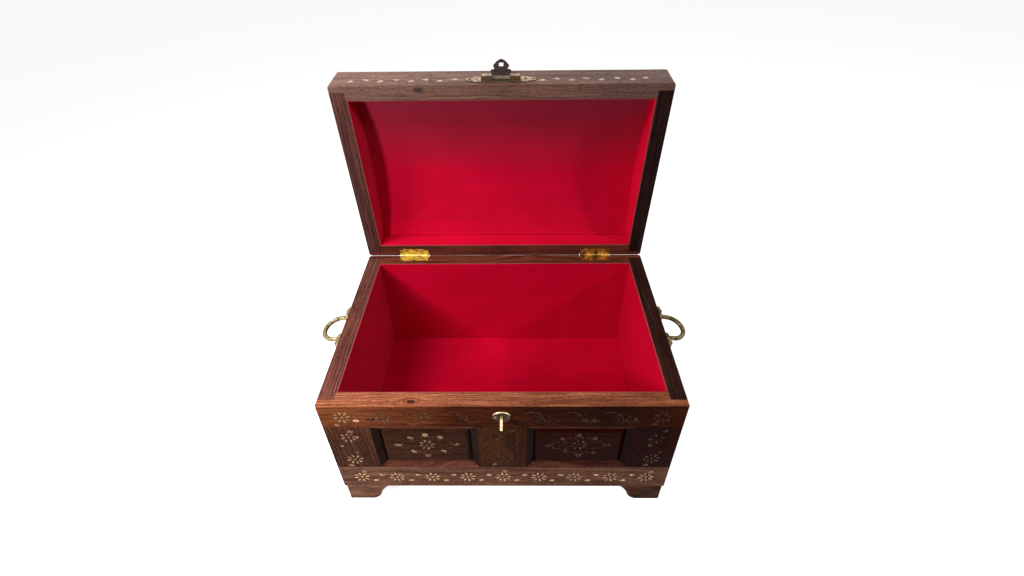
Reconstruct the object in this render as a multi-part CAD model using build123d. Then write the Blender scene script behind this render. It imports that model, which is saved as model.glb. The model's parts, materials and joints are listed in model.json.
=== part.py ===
from build123d import *
import math
import os

# Domed dowry chest of solid rosewood with brass fittings and a red cloth lining.
# Millimetres. X runs to the right along the front, Y from front to back, Z up.
# The pieces are built with the lid closed, the middle of the body at X = Y = 0 and
# the floor at Z = 0. The lid is then turned open about its hinges, and the whole is
# slid along Y until its bounding box is centred on the origin.

# ---- Body ----
LENGTH = 307.4
DEPTH = 201.5
BODY_HEIGHT = 124.0
FOOT_HEIGHT = 26.0
FRONT_THICKNESS = 14.0
BACK_THICKNESS = 13.5
SIDE_THICKNESS = 14.0
FLOOR_THICKNESS = 4.0
FLOOR_REBATE = 5.0
FRONT_LAP = 6.8
BACK_LAP = 5.0
LINING = 1.3
LINING_SETBACK = 0.4
CORNER_ROUND = 1.5
EDGE_ROUND = 0.4
# longer than any piece, for cutters that run right through
THROUGH = 500.0

# ---- Frame and panel walls ----
TOP_RAIL = 28.0
BOTTOM_RAIL = 33.5
END_STILE = 40.7
CENTRE_STILE = 42.5
GROOVE_SETBACK = 4.6
GROOVE_WIDTH = 4.0
GROOVE_DEPTH = 5.0
TONGUE_PLAY = 0.5
PANEL_PLAY = 0.2
TENON_MARGIN = 5.0
TENON_PLAY = 0.4
MOULDING_WIDTH = 6.0
MOULDING_FLAT = 0.5
MOULDING_DROP = 2.6
VALLEY = 0.5
PANEL_BEVEL = 3.5
FIELD_DEPTH = 1.2
FIELD_STEP = 0.7

# ---- Feet ----
FOOT_WIDTH = 43.0
FOOT_SOLE = 18.5
FOOT_INSET = 1.2
FOOT_THICKNESS = 9.0
FOOT_BULGE = 14.5
FOOT_BULGE_TURN = 80.0
FOOT_COVE_SAG = 1.3
FOOT_ROUND = 1.2
GLUE_BLOCK = 14.0
GLUE_BLOCK_SHORT = 2.0

# ---- Lid ----
LID_FACE = 32.0
LID_RISE = 15.0
SPRING_HEIGHT = 19.0
VAULT_RISE = 14.8
VAULT_LINING_SKIRT = 5.2
LID_EDGE_ROUND = 2.5
LID_OPEN_ANGLE = 85.7

# ---- Hinges ----
HINGE_INSET = 51.7
HINGE_LENGTH = 32.0
HINGE_KNUCKLES = 5
KNUCKLE_GAP = 0.15
HINGE_OFFSET = 0.1
BARREL_RADIUS = 1.9
BARREL_ROOM = 0.2
HINGE_PIN_RADIUS = 0.85
PIN_CLEARANCE = 0.05
PIN_HEAD_RADIUS = 1.3
PIN_HEAD = 0.5
LEAF_THICKNESS = 0.3
LEAF_GAP = 0.1
LEAF_DEPTH = 9.5
LEAF_NOTCH_RADIUS = 1.5
LEAF_NOTCH_INSET = 2.8
LEAF_SWING_ROOM = 0.25
STOP_REACH = 4.2
STOP_CLEARANCE = 0.06

# ---- Hasp on the lid ----
HASP_LENGTH = 63.0
HASP_TAB_LENGTH = 7.0
HASP_TAB_WIDTH = 7.0
HASP_PLATE = 0.8
HASP_LOW = 4.4
HASP_HEIGHT = 11.6
HASP_BLOCK_LENGTH = 35.2
HASP_BLOCK_SETBACK = 1.3
HASP_BLOCK_DEPTH = 5.2
HASP_BLOCK_PROUD = 5.8
HASP_BLOCK_ROUND = 1.2
HASP_AXIS_UP = 3.2
HASP_AXIS_OUT = 2.7
HASP_KNUCKLE_RADIUS = 1.8
HASP_PIN_RADIUS = 0.7
HASP_PIN_SHORT = 0.3
HASP_PLAY = 0.15
HASP_REST_WALL = 1.0
HASP_REST_GAP = 0.05
FLAP_THICKNESS = 1.2
FLAP_WIDTH = 16.2
FLAP_SHOULDER = 18.3
FLAP_SHOULDER_SPAN = (7.6, 12.9)
FLAP_SHOULDER_ROUND = 2.0
FLAP_NECK = 12.4
FLAP_LOBE_RADIUS = 4.3
FLAP_LOBE_SPREAD = 2.9
FLAP_LOBE_REACH = 19.6
# half-widths of the pointed head and their distances from the pin
FLAP_HEAD = ((5.9, 22.8), (4.3, 26.6), (1.0, 30.6))
FLAP_REACH = 30.9
FLAP_SLOT_WIDTH = 4.2
FLAP_SLOT_ROUND = 1.2
FLAP_SLOT_SPAN = (17.8, 26.4)
FLAP_PIERCING = 0.8
FLAP_PIERCINGS = ((0, -12.8), (0, -5.6), (-4.6, -9.8), (4.6, -9.8))
FLAP_LEAN = 8.0

# ---- Staple on the front ----
STAPLE_DROP = 12.8
STAPLE_PLATE_LENGTH = 16.0
STAPLE_PLATE_HEIGHT = 13.0
STAPLE_PLATE = 1.2
STAPLE_PLATE_ROUND = 0.8
STAPLE_REACH = 13.0
STAPLE_WIDTH = 2.1
STAPLE_HEIGHT = 5.6
STAPLE_TANG = 5.0
EYE_RADIUS = 1.5

# ---- Side pulls ----
PULL_DROP = 8.6
PULL_FORWARD = 2.5
PULL_SPAN = 28.4
PULL_REACH = 22.6
PULL_LEG = 9.5
PULL_DROOP = 9.0
PULL_ROD_RADIUS = 2.2
PULL_NAIL_SPAN = 42.6
PULL_LENGTH = 53.0
PULL_LUG = 4.6
PULL_LUG_HEIGHT = 8.6
PULL_LUG_ROUND = 1.4

# ---- Nails ----
NAIL_FIT = 0.03
# head radius, head height, shank radius, shank length below the head
PULL_NAIL = (2.3, 2.0, 1.0, 12.0)
HINGE_NAIL = (1.3, 0.22, 0.55, 7.0)
HASP_NAIL = (1.3, 0.6, 0.6, 9.0)
STAPLE_NAIL = (1.4, 0.2, 0.6, 9.0)
HINGE_NAIL_EDGE = 5.5
HASP_NAIL_INSETS = (3.2, 9.6)
STAPLE_NAIL_SPREAD = 5.2

# ---- Worked out from the sizes above ----
half_length = LENGTH / 2
half_depth = DEPTH / 2
rim = FOOT_HEIGHT + BODY_HEIGHT
rim_gap = 2 * LEAF_THICKNESS + LEAF_GAP
lid_rim = rim + rim_gap
side_inside = half_length - SIDE_THICKNESS
front_inside = -half_depth + FRONT_THICKNESS
back_inside = half_depth - BACK_THICKNESS
side_front_end = -half_depth + FRONT_LAP
side_back_end = half_depth - BACK_LAP
floor_top = FOOT_HEIGHT + FLOOR_THICKNESS
hinge_y = half_depth + HINGE_OFFSET
hinge_z = rim + rim_gap / 2
opening_low = FOOT_HEIGHT + BOTTOM_RAIL
opening_high = rim - TOP_RAIL

FRONT_FACE = Plane(origin=(0, -half_depth, 0), x_dir=(1, 0, 0), z_dir=(0, -1, 0))
RIGHT_FACE = Plane(origin=(half_length, 0, 0), x_dir=(0, 1, 0), z_dir=(1, 0, 0))

pieces = {}


# ---- Helpers ----
def block(x, y, z):
    """A box between three pairs of coordinates."""
    corner = (Align.MIN, Align.MIN, Align.MIN)
    return Pos(x[0], y[0], z[0]) * Box(x[1] - x[0], y[1] - y[0], z[1] - z[0], align=corner)


def mirrored(shape):
    """The same piece on the other side of the chest's middle."""
    return mirror(shape, about=Plane.YZ)


def group(shapes):
    """Separate solids kept side by side in one node."""
    return Compound([solid for shape in shapes for solid in shape.solids()])


def domed_nail(size, fit=0.0):
    """A nail driven along -Z, its head's underside at Z = 0."""
    head_radius, head_height, shank_radius, length = size
    dome_radius = (head_radius**2 + head_height**2) / (2 * head_height)
    dome = Pos(0, 0, head_height - dome_radius) * Sphere(dome_radius)
    over = (-THROUGH, THROUGH)
    head = dome & block(over, over, (0, THROUGH))
    shank = Pos(0, 0, -length) * Cylinder(
        shank_radius + fit, length, align=(Align.CENTER, Align.CENTER, Align.MIN)
    )
    return head + shank if fit == 0 else shank


def x_cylinder(radius, x, y=0.0, z=0.0):
    """A round bar along X between two coordinates."""
    bar = Cylinder(radius, x[1] - x[0], align=(Align.CENTER, Align.CENTER, Align.MIN))
    return Pos(x[0], y, z) * Rot(0, 90, 0) * bar


# ---- Frame and panel walls, drawn flat: X along the wall, Y up, Z = 0 at its outer face ----
def frame_wall(names, ends, stiles, thickness, tenon_ends):
    """Rails that run from end to end, stiles tenoned between them and grooves for the panels."""
    depth = (-thickness, 0)
    seat = (-GROOVE_SETBACK - GROOVE_WIDTH, -GROOVE_SETBACK)
    openings = [(a[1], b[0]) for a, b in zip(stiles, stiles[1:])]
    grooves = [
        block(
            (low - GROOVE_DEPTH, high + GROOVE_DEPTH),
            (opening_low - GROOVE_DEPTH, opening_high + GROOVE_DEPTH),
            seat,
        )
        for low, high in openings
    ]
    top = block(ends, (opening_high, rim), depth)
    bottom = block(ends, (FOOT_HEIGHT, opening_low), depth)
    uprights = []
    for low, high in stiles:
        stile = block((low, high), (opening_low, opening_high), depth)
        tenon_x = (
            max(low + GROOVE_DEPTH, tenon_ends[0]),
            min(high - GROOVE_DEPTH, tenon_ends[1]),
        )
        mortise_y = (opening_low - GROOVE_DEPTH, opening_high + GROOVE_DEPTH)
        tenon_y = (mortise_y[0] + TENON_PLAY, mortise_y[1] - TENON_PLAY)
        mortise = block(tenon_x, mortise_y, seat)
        top -= mortise
        bottom -= mortise
        for groove in grooves:
            stile -= groove
        uprights.append(stile + block(tenon_x, tenon_y, seat))
    for groove in grooves:
        top -= groove
        bottom -= groove
    return dict(zip(names, [top, bottom, *uprights])), openings


def raised_panel(opening, thickness):
    """A raised and fielded panel whose tongue fits the grooves, flush with the wall inside."""
    x = (opening[0] + PANEL_PLAY, opening[1] - PANEL_PLAY)
    y = (opening_low + PANEL_PLAY, opening_high - PANEL_PLAY)
    tongue = GROOVE_DEPTH - TONGUE_PLAY
    body = block(x, y, (-thickness, -GROOVE_SETBACK))
    body += block(
        (opening[0] - tongue, opening[1] + tongue),
        (opening_low - tongue, opening_high + tongue),
        (-GROOVE_SETBACK - GROOVE_WIDTH, -GROOVE_SETBACK),
    )
    width = opening[1] - opening[0]
    height = opening_high - opening_low
    middle = Pos((opening[0] + opening[1]) / 2, (opening_low + opening_high) / 2, 0)
    foot = 2 * (MOULDING_WIDTH + VALLEY)
    field = foot + 2 * PANEL_BEVEL
    bevel_top = -FIELD_DEPTH - FIELD_STEP
    slope = loft(
        [
            middle * Pos(0, 0, -GROOVE_SETBACK) * Rectangle(width - foot, height - foot),
            middle * Pos(0, 0, bevel_top) * Rectangle(width - field, height - field),
        ]
    )
    step = middle * Pos(0, 0, bevel_top) * Box(
        width - field, height - field, FIELD_STEP, align=(Align.CENTER, Align.CENTER, Align.MIN)
    )
    return body + slope + step


def mitred_moulding(opening):
    """Four bevelled strips round an opening, mitred at its corners, in front of the panel's rim."""
    width = opening[1] - opening[0]
    height = opening_high - opening_low
    middle = Pos((opening[0] + opening[1]) / 2, (opening_low + opening_high) / 2, 0)
    ring = middle * Pos(0, 0, -GROOVE_SETBACK) * Box(
        width, height, GROOVE_SETBACK, align=(Align.CENTER, Align.CENTER, Align.MIN)
    )
    inner = 2 * MOULDING_WIDTH
    outer = 2 * MOULDING_FLAT
    ring -= loft(
        [
            middle * Pos(0, 0, -MOULDING_DROP) * Rectangle(width - inner, height - inner),
            middle * Rectangle(width - outer, height - outer),
        ]
    )
    ring -= middle * Box(width - inner, height - inner, THROUGH)
    strips = []
    for side in range(4):
        along, across = (width, height) if side % 2 == 0 else (height, width)
        edge = across / 2
        strip = Polygon(
            (-along / 2, edge),
            (along / 2, edge),
            (along / 2 - MOULDING_WIDTH, edge - MOULDING_WIDTH),
            (-along / 2 + MOULDING_WIDTH, edge - MOULDING_WIDTH),
            align=None,
        )
        cutter = extrude(strip, THROUGH, dir=(0, 0, 1), both=True)
        strips.append(ring & (middle * Rot(0, 0, 90 * side) * cutter))
    return group(strips)


# ---- Body: floor, and the outside shape that rounds the walls' outer edges ----
floor_board = block(
    (-side_inside - FLOOR_REBATE, side_inside + FLOOR_REBATE),
    (front_inside - FLOOR_REBATE, back_inside + FLOOR_REBATE),
    (FOOT_HEIGHT, floor_top),
)
pieces["floor_board"] = floor_board

body_shape = block((-half_length, half_length), (-half_depth, half_depth), (FOOT_HEIGHT, rim))
body_shape = fillet(body_shape.edges().filter_by(Axis.Z), CORNER_ROUND)
body_shape = fillet(body_shape.faces().filter_by(Axis.Z).edges(), EDGE_ROUND)

side_seat = block((side_inside, half_length), (side_front_end, side_back_end), (FOOT_HEIGHT, rim))
side_seats = [side_seat, mirrored(side_seat)]


def fitted(member):
    """A wall member rebated for the floor and rounded with the rest of the body."""
    return (member - floor_board) & body_shape


# ---- Front wall ----
half_centre = CENTRE_STILE / 2
front_members, front_openings = frame_wall(
    ["front_top_rail", "front_bottom_rail", "front_left_stile", "front_centre_stile", "front_right_stile"],
    (-half_length, half_length),
    [
        (-half_length, -half_length + END_STILE),
        (-half_centre, half_centre),
        (half_length - END_STILE, half_length),
    ],
    FRONT_THICKNESS,
    (-side_inside + TENON_MARGIN, side_inside - TENON_MARGIN),
)
for name, member in front_members.items():
    member = FRONT_FACE * member
    for seat in side_seats:
        member -= seat
    pieces[name] = fitted(member)
for side, opening in zip(("left", "right"), front_openings):
    pieces[f"front_{side}_panel"] = FRONT_FACE * raised_panel(opening, FRONT_THICKNESS)
    pieces[f"front_{side}_moulding"] = FRONT_FACE * mitred_moulding(opening)

# ---- Side walls, alike but mirrored ----
side_opening_edge = half_depth - END_STILE
side_members, side_openings = frame_wall(
    ["top_rail", "bottom_rail", "front_stile", "back_stile"],
    (side_front_end, side_back_end),
    [(side_front_end, -side_opening_edge), (side_opening_edge, side_back_end)],
    SIDE_THICKNESS,
    (side_front_end + TENON_MARGIN, side_back_end - TENON_MARGIN),
)
for name, member in side_members.items():
    pieces[f"right_side_{name}"] = fitted(RIGHT_FACE * member)
pieces["right_side_panel"] = RIGHT_FACE * raised_panel(side_openings[0], SIDE_THICKNESS)
pieces["right_side_moulding"] = RIGHT_FACE * mitred_moulding(side_openings[0])

# ---- Back board, one plain board rebated over the sides ----
back_board = block((-half_length, half_length), (back_inside, half_depth), (FOOT_HEIGHT, rim))
for seat in side_seats:
    back_board -= seat
pieces["back_board"] = fitted(back_board)

# ---- Cloth lining of the body, five cut sheets ----
lining_top = rim - LINING_SETBACK
wall_lining_x = (-side_inside, side_inside)
pieces["front_lining"] = block(wall_lining_x, (front_inside, front_inside + LINING), (floor_top, lining_top))
pieces["back_lining"] = block(wall_lining_x, (back_inside - LINING, back_inside), (floor_top, lining_top))
side_lining_y = (front_inside + LINING, back_inside - LINING)
pieces["right_lining"] = block((side_inside - LINING, side_inside), side_lining_y, (floor_top, lining_top))
pieces["left_lining"] = mirrored(pieces["right_lining"])
pieces["floor_lining"] = block(
    (-side_inside + LINING, side_inside - LINING), side_lining_y, (floor_top, floor_top + LINING)
)


# ---- Feet: two brackets mitred at the corner, with a glue block behind ----
def bracket_face():
    """The sawn outline of a bracket: a flat sole, a bulge, and a cove up to the body."""
    turn = math.radians(FOOT_BULGE_TURN)
    bulge_end = (
        FOOT_SOLE + FOOT_BULGE * math.sin(turn),
        FOOT_BULGE - FOOT_BULGE * math.cos(turn),
    )
    cove_end = (FOOT_WIDTH, FOOT_HEIGHT)
    bulge = CenterArc((FOOT_SOLE, FOOT_BULGE), FOOT_BULGE, -90, FOOT_BULGE_TURN)
    cove = SagittaArc(bulge_end, cove_end, FOOT_COVE_SAG)
    rest = Polyline(cove_end, (0, FOOT_HEIGHT), (0, 0), (FOOT_SOLE, 0))
    return make_face([bulge, cove, rest])


foot_corner = Pos(half_length - FOOT_INSET, -half_depth + FOOT_INSET, 0)
upright = Plane(origin=(0, 0, 0), x_dir=(-1, 0, 0), z_dir=(0, 1, 0))
front_bracket = extrude(upright * bracket_face(), FOOT_THICKNESS)
mitre_face = Polygon((0, 0), (-2 * FOOT_WIDTH, 2 * FOOT_WIDTH), (-2 * FOOT_WIDTH, 0), align=None)
mitre = extrude(mitre_face, FOOT_HEIGHT, dir=(0, 0, 1))
front_bracket &= mitre
corner_shape = block((-2 * FOOT_WIDTH, 0), (0, 2 * FOOT_WIDTH), (0, FOOT_HEIGHT))
corner_edges = corner_shape.edges().filter_by(Axis.Z).sort_by(Axis.X)[-2:].sort_by(Axis.Y)[0:1]
sole_edges = corner_shape.edges().group_by(Axis.Z)[0]
outer_sole_edges = [sole_edges.sort_by(Axis.X)[-1], sole_edges.sort_by(Axis.Y)[0]]
corner_shape = fillet([*corner_edges, *outer_sole_edges], FOOT_ROUND)
front_bracket &= corner_shape
side_bracket = mirror(front_bracket, about=Plane(origin=(0, 0, 0), x_dir=(0, 0, 1), z_dir=(1, 1, 0)))
glue_block = block(
    (-FOOT_THICKNESS - GLUE_BLOCK, -FOOT_THICKNESS),
    (FOOT_THICKNESS, FOOT_THICKNESS + GLUE_BLOCK),
    (GLUE_BLOCK_SHORT, FOOT_HEIGHT),
)
front_right_foot = foot_corner * group([front_bracket, side_bracket, glue_block])
pieces["front_right_foot"] = front_right_foot
pieces["back_right_foot"] = mirror(front_right_foot, about=Plane.XZ)
for row in ("front", "back"):
    pieces[f"{row}_left_foot"] = mirrored(pieces[f"{row}_right_foot"])

# ---- Lid: one curved board over rails and arched ends, all rebated like the body ----
lid_top_edge = lid_rim + LID_FACE
spring = lid_rim + SPRING_HEIGHT
section_plane = Plane(origin=(0, 0, 0), x_dir=(0, 1, 0), z_dir=(1, 0, 0))


def lid_prism(lines, x):
    """An outline in Y and Z carried along the lid's length."""
    face = section_plane * make_face(lines)
    return extrude(Pos(x[0], 0, 0) * face, x[1] - x[0])


crown = ThreePointArc(
    (half_depth, lid_top_edge), (0, lid_top_edge + LID_RISE), (-half_depth, lid_top_edge)
)
lid_outline = Polyline(
    (-half_depth, lid_top_edge), (-half_depth, lid_rim), (half_depth, lid_rim), (half_depth, lid_top_edge)
)
lid_shape = lid_prism([crown, lid_outline], (-half_length, half_length))
crown_edges = lid_shape.faces().sort_by(Axis.Z)[-1].edges()
lid_shape = fillet([*crown_edges, *lid_shape.edges().filter_by(Axis.Z)], LID_EDGE_ROUND)
lid_shape = fillet(lid_shape.faces().sort_by(Axis.Z)[0].edges(), EDGE_ROUND)

vault_middle = ((front_inside + back_inside) / 2, spring + VAULT_RISE)
vault = ThreePointArc((back_inside, spring), vault_middle, (front_inside, spring))
vault_walls = Polyline(
    (front_inside, spring), (front_inside, lid_rim), (back_inside, lid_rim), (back_inside, spring)
)
lid_cavity = lid_prism([vault, vault_walls], (-side_inside, side_inside))

end_foot = Polyline(
    (front_inside, spring),
    (side_front_end, spring),
    (side_front_end, lid_rim),
    (side_back_end, lid_rim),
    (side_back_end, spring),
    (back_inside, spring),
)
right_end = lid_prism([vault, end_foot], (side_inside, half_length))
pieces["lid_right_end"] = right_end & lid_shape
pieces["lid_left_end"] = mirrored(pieces["lid_right_end"])

above_spring = lid_top_edge + 2 * LID_RISE
vault_foot = Line((front_inside, spring), (back_inside, spring))
under_vault = lid_prism([vault, vault_foot], (-half_length, half_length))
lid_board = block((-half_length, half_length), (side_front_end, side_back_end), (spring, above_spring))
pieces["lid_board"] = (lid_board - under_vault) & lid_shape

for name, outer, inner in (
    ("lid_front_rail", -half_depth, front_inside),
    ("lid_back_rail", half_depth, back_inside),
):
    rail = block((-half_length, half_length), sorted((outer, inner)), (lid_rim, above_spring))
    rail -= lid_board
    for end in (right_end, mirrored(right_end)):
        rail -= end
    pieces[name] = rail & lid_shape

# ---- Cloth lining of the lid: a vaulted sheet, two ends and two strips ----
vault_radius = ((back_inside - front_inside) ** 2 / 4 + VAULT_RISE**2) / (2 * VAULT_RISE)
vault_centre = (vault_middle[0], vault_middle[1] - vault_radius)
lining_core = Pos(-half_length, vault_centre[0], vault_centre[1]) * Rot(0, 90, 0) * Cylinder(
    vault_radius - LINING, LENGTH, align=(Align.CENTER, Align.CENTER, Align.MIN)
)
cloth_space = lid_cavity & block(
    (-half_length, half_length), (-half_depth, half_depth), (lid_rim + LINING_SETBACK, above_spring)
)
vault_low = spring - VAULT_LINING_SKIRT
vault_lining = (cloth_space - lining_core) & block(
    (-half_length, half_length), (-half_depth, half_depth), (vault_low, above_spring)
)
end_strip = block((side_inside - LINING, side_inside), (-half_depth, half_depth), (lid_rim, above_spring))
right_end_lining = (cloth_space & end_strip) - vault_lining
left_end_lining = mirrored(right_end_lining)
pieces["lid_vault_lining"] = vault_lining
pieces["lid_right_lining"] = right_end_lining
pieces["lid_left_lining"] = left_end_lining
for name, edge, inward in (("front", front_inside, LINING), ("back", back_inside, -LINING)):
    strip = block((-side_inside, side_inside), sorted((edge, edge + inward)), (lid_rim, above_spring))
    strip = (cloth_space & strip) - vault_lining - right_end_lining - left_end_lining
    pieces[f"lid_{name}_lining"] = strip

# ---- Butt hinges, drawn closed with the pin on the X axis and the leaves towards -Y ----
knuckle_length = HINGE_LENGTH / HINGE_KNUCKLES
hinge_half = HINGE_LENGTH / 2


def hinge_leaf(knuckles, low, high):
    """One stamped leaf between two heights, with its share of rolled knuckles."""
    plate = block((-hinge_half, hinge_half), (-HINGE_OFFSET - LEAF_DEPTH, 0), (low, high))
    notches = (0, hinge_half - LEAF_NOTCH_INSET, -hinge_half + LEAF_NOTCH_INSET)
    for x in notches:
        plate -= Pos(x, -HINGE_OFFSET - LEAF_DEPTH, 0) * Cylinder(LEAF_NOTCH_RADIUS, THROUGH)
    leaf = plate
    bars = []
    for index in range(HINGE_KNUCKLES):
        start = -hinge_half + index * knuckle_length
        if index in knuckles:
            inset = [KNUCKLE_GAP / 2 if 0 < index + end < HINGE_KNUCKLES else 0 for end in (0, 1)]
            span = (start + inset[0], start + knuckle_length - inset[1])
            bars.append(x_cylinder(BARREL_RADIUS, span))
        else:
            span = (start - KNUCKLE_GAP / 2, start + knuckle_length + KNUCKLE_GAP / 2)
            leaf -= x_cylinder(BARREL_RADIUS + LEAF_SWING_ROOM, span)
            leaf -= block(span, (-BARREL_RADIUS, BARREL_RADIUS), (-BARREL_RADIUS, BARREL_RADIUS))
    for bar in bars:
        leaf += bar
    return leaf - x_cylinder(HINGE_PIN_RADIUS + PIN_CLEARANCE, (-THROUGH, THROUGH))


def stop_lug():
    """A lug behind the middle knuckle that the lid's back face lands on when it is open."""
    reach = block(
        (-knuckle_length / 2 + KNUCKLE_GAP, knuckle_length / 2 - KNUCKLE_GAP),
        (0, STOP_REACH),
        (-BARREL_RADIUS / 2, HINGE_OFFSET - STOP_CLEARANCE),
    )
    lean = 90 - LID_OPEN_ANGLE
    return Rot(lean, 0, 0) * reach - x_cylinder(HINGE_PIN_RADIUS + PIN_CLEARANCE, (-THROUGH, THROUGH))


body_knuckles = range(0, HINGE_KNUCKLES, 2)
lid_knuckles = range(1, HINGE_KNUCKLES, 2)
body_leaf = hinge_leaf(body_knuckles, -rim_gap / 2, -rim_gap / 2 + LEAF_THICKNESS) + stop_lug()
lid_leaf = hinge_leaf(lid_knuckles, rim_gap / 2 - LEAF_THICKNESS, rim_gap / 2)
hinge_pin = x_cylinder(HINGE_PIN_RADIUS, (-hinge_half - PIN_HEAD, hinge_half + PIN_HEAD))
for x in ((-hinge_half - PIN_HEAD, -hinge_half), (hinge_half, hinge_half + PIN_HEAD)):
    hinge_pin += x_cylinder(PIN_HEAD_RADIUS, x)
notch_reach = hinge_half + 2 * PIN_HEAD
barrel_notch = x_cylinder(BARREL_RADIUS + BARREL_ROOM, (-notch_reach, notch_reach))

lobe = (hinge_half - LEAF_NOTCH_INSET) / 2
hinge_nail_places = [Pos(x, -HINGE_OFFSET - HINGE_NAIL_EDGE, 0) for x in (-lobe, lobe)]
body_nails, body_nail_holes, lid_nails, lid_nail_holes = [], [], [], []
hinge_x = half_length - HINGE_INSET
for side, x in (("left", -hinge_x), ("right", hinge_x)):
    hinge = Pos(x, hinge_y, hinge_z)
    for place in hinge_nail_places:
        down = hinge * place * Pos(0, 0, -rim_gap / 2 + LEAF_THICKNESS)
        up = hinge * place * Pos(0, 0, rim_gap / 2 - LEAF_THICKNESS) * Rot(180, 0, 0)
        flush = Pos(0, 0, -HINGE_NAIL[1])
        body_nails.append(down * flush * domed_nail(HINGE_NAIL))
        body_nail_holes.append(down * flush * domed_nail(HINGE_NAIL, NAIL_FIT))
        lid_nails.append(up * flush * domed_nail(HINGE_NAIL))
        lid_nail_holes.append(up * flush * domed_nail(HINGE_NAIL, NAIL_FIT))
    body_cut, lid_cut = hinge * body_leaf, hinge * lid_leaf
    for nail, hole in zip(body_nails[-2:], body_nail_holes[-2:]):
        body_cut = body_cut - nail - hole
    for nail, hole in zip(lid_nails[-2:], lid_nail_holes[-2:]):
        lid_cut = lid_cut - nail - hole
    pieces["back_board"] -= hinge * barrel_notch
    pieces["lid_back_rail"] -= hinge * barrel_notch
    pieces[f"{side}_hinge_body_leaf"] = body_cut
    pieces[f"{side}_hinge_lid_leaf"] = lid_cut
    pieces[f"{side}_hinge_pin"] = hinge * hinge_pin
pieces["hinge_body_nails"] = group(body_nails)
pieces["hinge_lid_nails"] = group(lid_nails)
for hole in body_nail_holes:
    pieces["back_board"] -= hole
for hole in lid_nail_holes:
    pieces["lid_back_rail"] -= hole

# ---- Hasp on the lid's front: X along, Y up from the lid's rim, Z out of the face ----
LID_FRONT = Plane(origin=(0, -half_depth, lid_rim), x_dir=(1, 0, 0), z_dir=(0, -1, 0))
hasp_axis = HASP_LOW + HASP_AXIS_UP
hasp_middle = HASP_LOW + HASP_HEIGHT / 2
hasp_half = HASP_LENGTH / 2
notch_half = FLAP_WIDTH / 2 + HASP_PLAY
hasp_body_half = hasp_half - HASP_TAB_LENGTH

plate_face = Pos(0, hasp_middle) * Rectangle(2 * hasp_body_half, HASP_HEIGHT)
plate_face += Pos(0, hasp_middle) * SlotOverall(HASP_LENGTH, HASP_TAB_WIDTH)
hasp_base = extrude(plate_face, HASP_PLATE)
block_low = HASP_LOW + HASP_BLOCK_SETBACK
block_y = (block_low, block_low + HASP_BLOCK_DEPTH)
hasp_block = block((-HASP_BLOCK_LENGTH / 2, HASP_BLOCK_LENGTH / 2), block_y, (0, HASP_BLOCK_PROUD))
hasp_block = fillet(hasp_block.faces().sort_by(Axis.Z)[-1].edges(), HASP_BLOCK_ROUND)
rest_wall_y = block_y[1] - HASP_REST_WALL
lean = math.radians(FLAP_LEAN)
rest_wall_top = HASP_AXIS_OUT + (rest_wall_y - hasp_axis) * math.tan(lean) - HASP_REST_GAP
hasp_block -= block((-notch_half, notch_half), (-THROUGH, rest_wall_y), (HASP_PLATE, THROUGH))
hasp_block -= block((-notch_half, notch_half), (rest_wall_y, THROUGH), (rest_wall_top, THROUGH))
hasp_base += hasp_block
hasp_base -= x_cylinder(HASP_PIN_RADIUS + PIN_CLEARANCE, (-THROUGH, THROUGH), hasp_axis, HASP_AXIS_OUT)
hasp_pin_half = HASP_BLOCK_LENGTH / 2 - HASP_PIN_SHORT
hasp_pin = x_cylinder(HASP_PIN_RADIUS, (-hasp_pin_half, hasp_pin_half), hasp_axis, HASP_AXIS_OUT)

hasp_nails, hasp_nail_holes = [], []
for x in (sign * (hasp_half - inset) for inset in HASP_NAIL_INSETS for sign in (-1, 1)):
    hasp_nails.append(Pos(x, hasp_middle, HASP_PLATE) * domed_nail(HASP_NAIL))
    hasp_nail_holes.append(Pos(x, hasp_middle, HASP_PLATE) * domed_nail(HASP_NAIL, NAIL_FIT))
for hole in hasp_nail_holes:
    hasp_base -= hole
    pieces["lid_front_rail"] -= LID_FRONT * hole
pieces["hasp_base"] = LID_FRONT * hasp_base
pieces["hasp_pin"] = LID_FRONT * hasp_pin
pieces["hasp_nails"] = LID_FRONT * group(hasp_nails)

# The flap is drawn hanging closed, the pin on the X axis and its tip towards -Y.
def hanging(width, low, high):
    """A straight part of the flap between two distances from its pin."""
    return Pos(0, -(low + high) / 2) * Rectangle(width, high - low)


shoulder_low, shoulder_high = FLAP_SHOULDER_SPAN
flap_face = hanging(FLAP_WIDTH, 0, shoulder_high - FLAP_SHOULDER_ROUND)
flap_face += Pos(0, -(shoulder_low + shoulder_high) / 2) * RectangleRounded(
    FLAP_SHOULDER, shoulder_high - shoulder_low, FLAP_SHOULDER_ROUND
)
flap_face += hanging(FLAP_NECK, shoulder_low, FLAP_LOBE_REACH)
for sign in (-1, 1):
    flap_face += Pos(sign * FLAP_LOBE_SPREAD, -FLAP_LOBE_REACH) * Circle(FLAP_LOBE_RADIUS)
head_right = [(x, -reach) for x, reach in FLAP_HEAD]
head_left = [(-x, y) for x, y in head_right]
head_tip = ThreePointArc(head_right[-1], (0, -FLAP_REACH), head_left[-1])
head_foot = Line(head_left[0], head_right[0])
flap_face += hanging(2 * FLAP_HEAD[0][0], FLAP_LOBE_REACH, FLAP_HEAD[0][1])
flap_face += make_face([ThreePointArc(*head_right), head_tip, ThreePointArc(*head_left), head_foot])
slot_low, slot_high = FLAP_SLOT_SPAN
flap_face -= Pos(0, -(slot_low + slot_high) / 2) * RectangleRounded(
    FLAP_SLOT_WIDTH, slot_high - slot_low, FLAP_SLOT_ROUND
)
for place in FLAP_PIERCINGS:
    flap_face -= Pos(*place) * Circle(FLAP_PIERCING)
flap = extrude(flap_face, -FLAP_THICKNESS)
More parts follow.
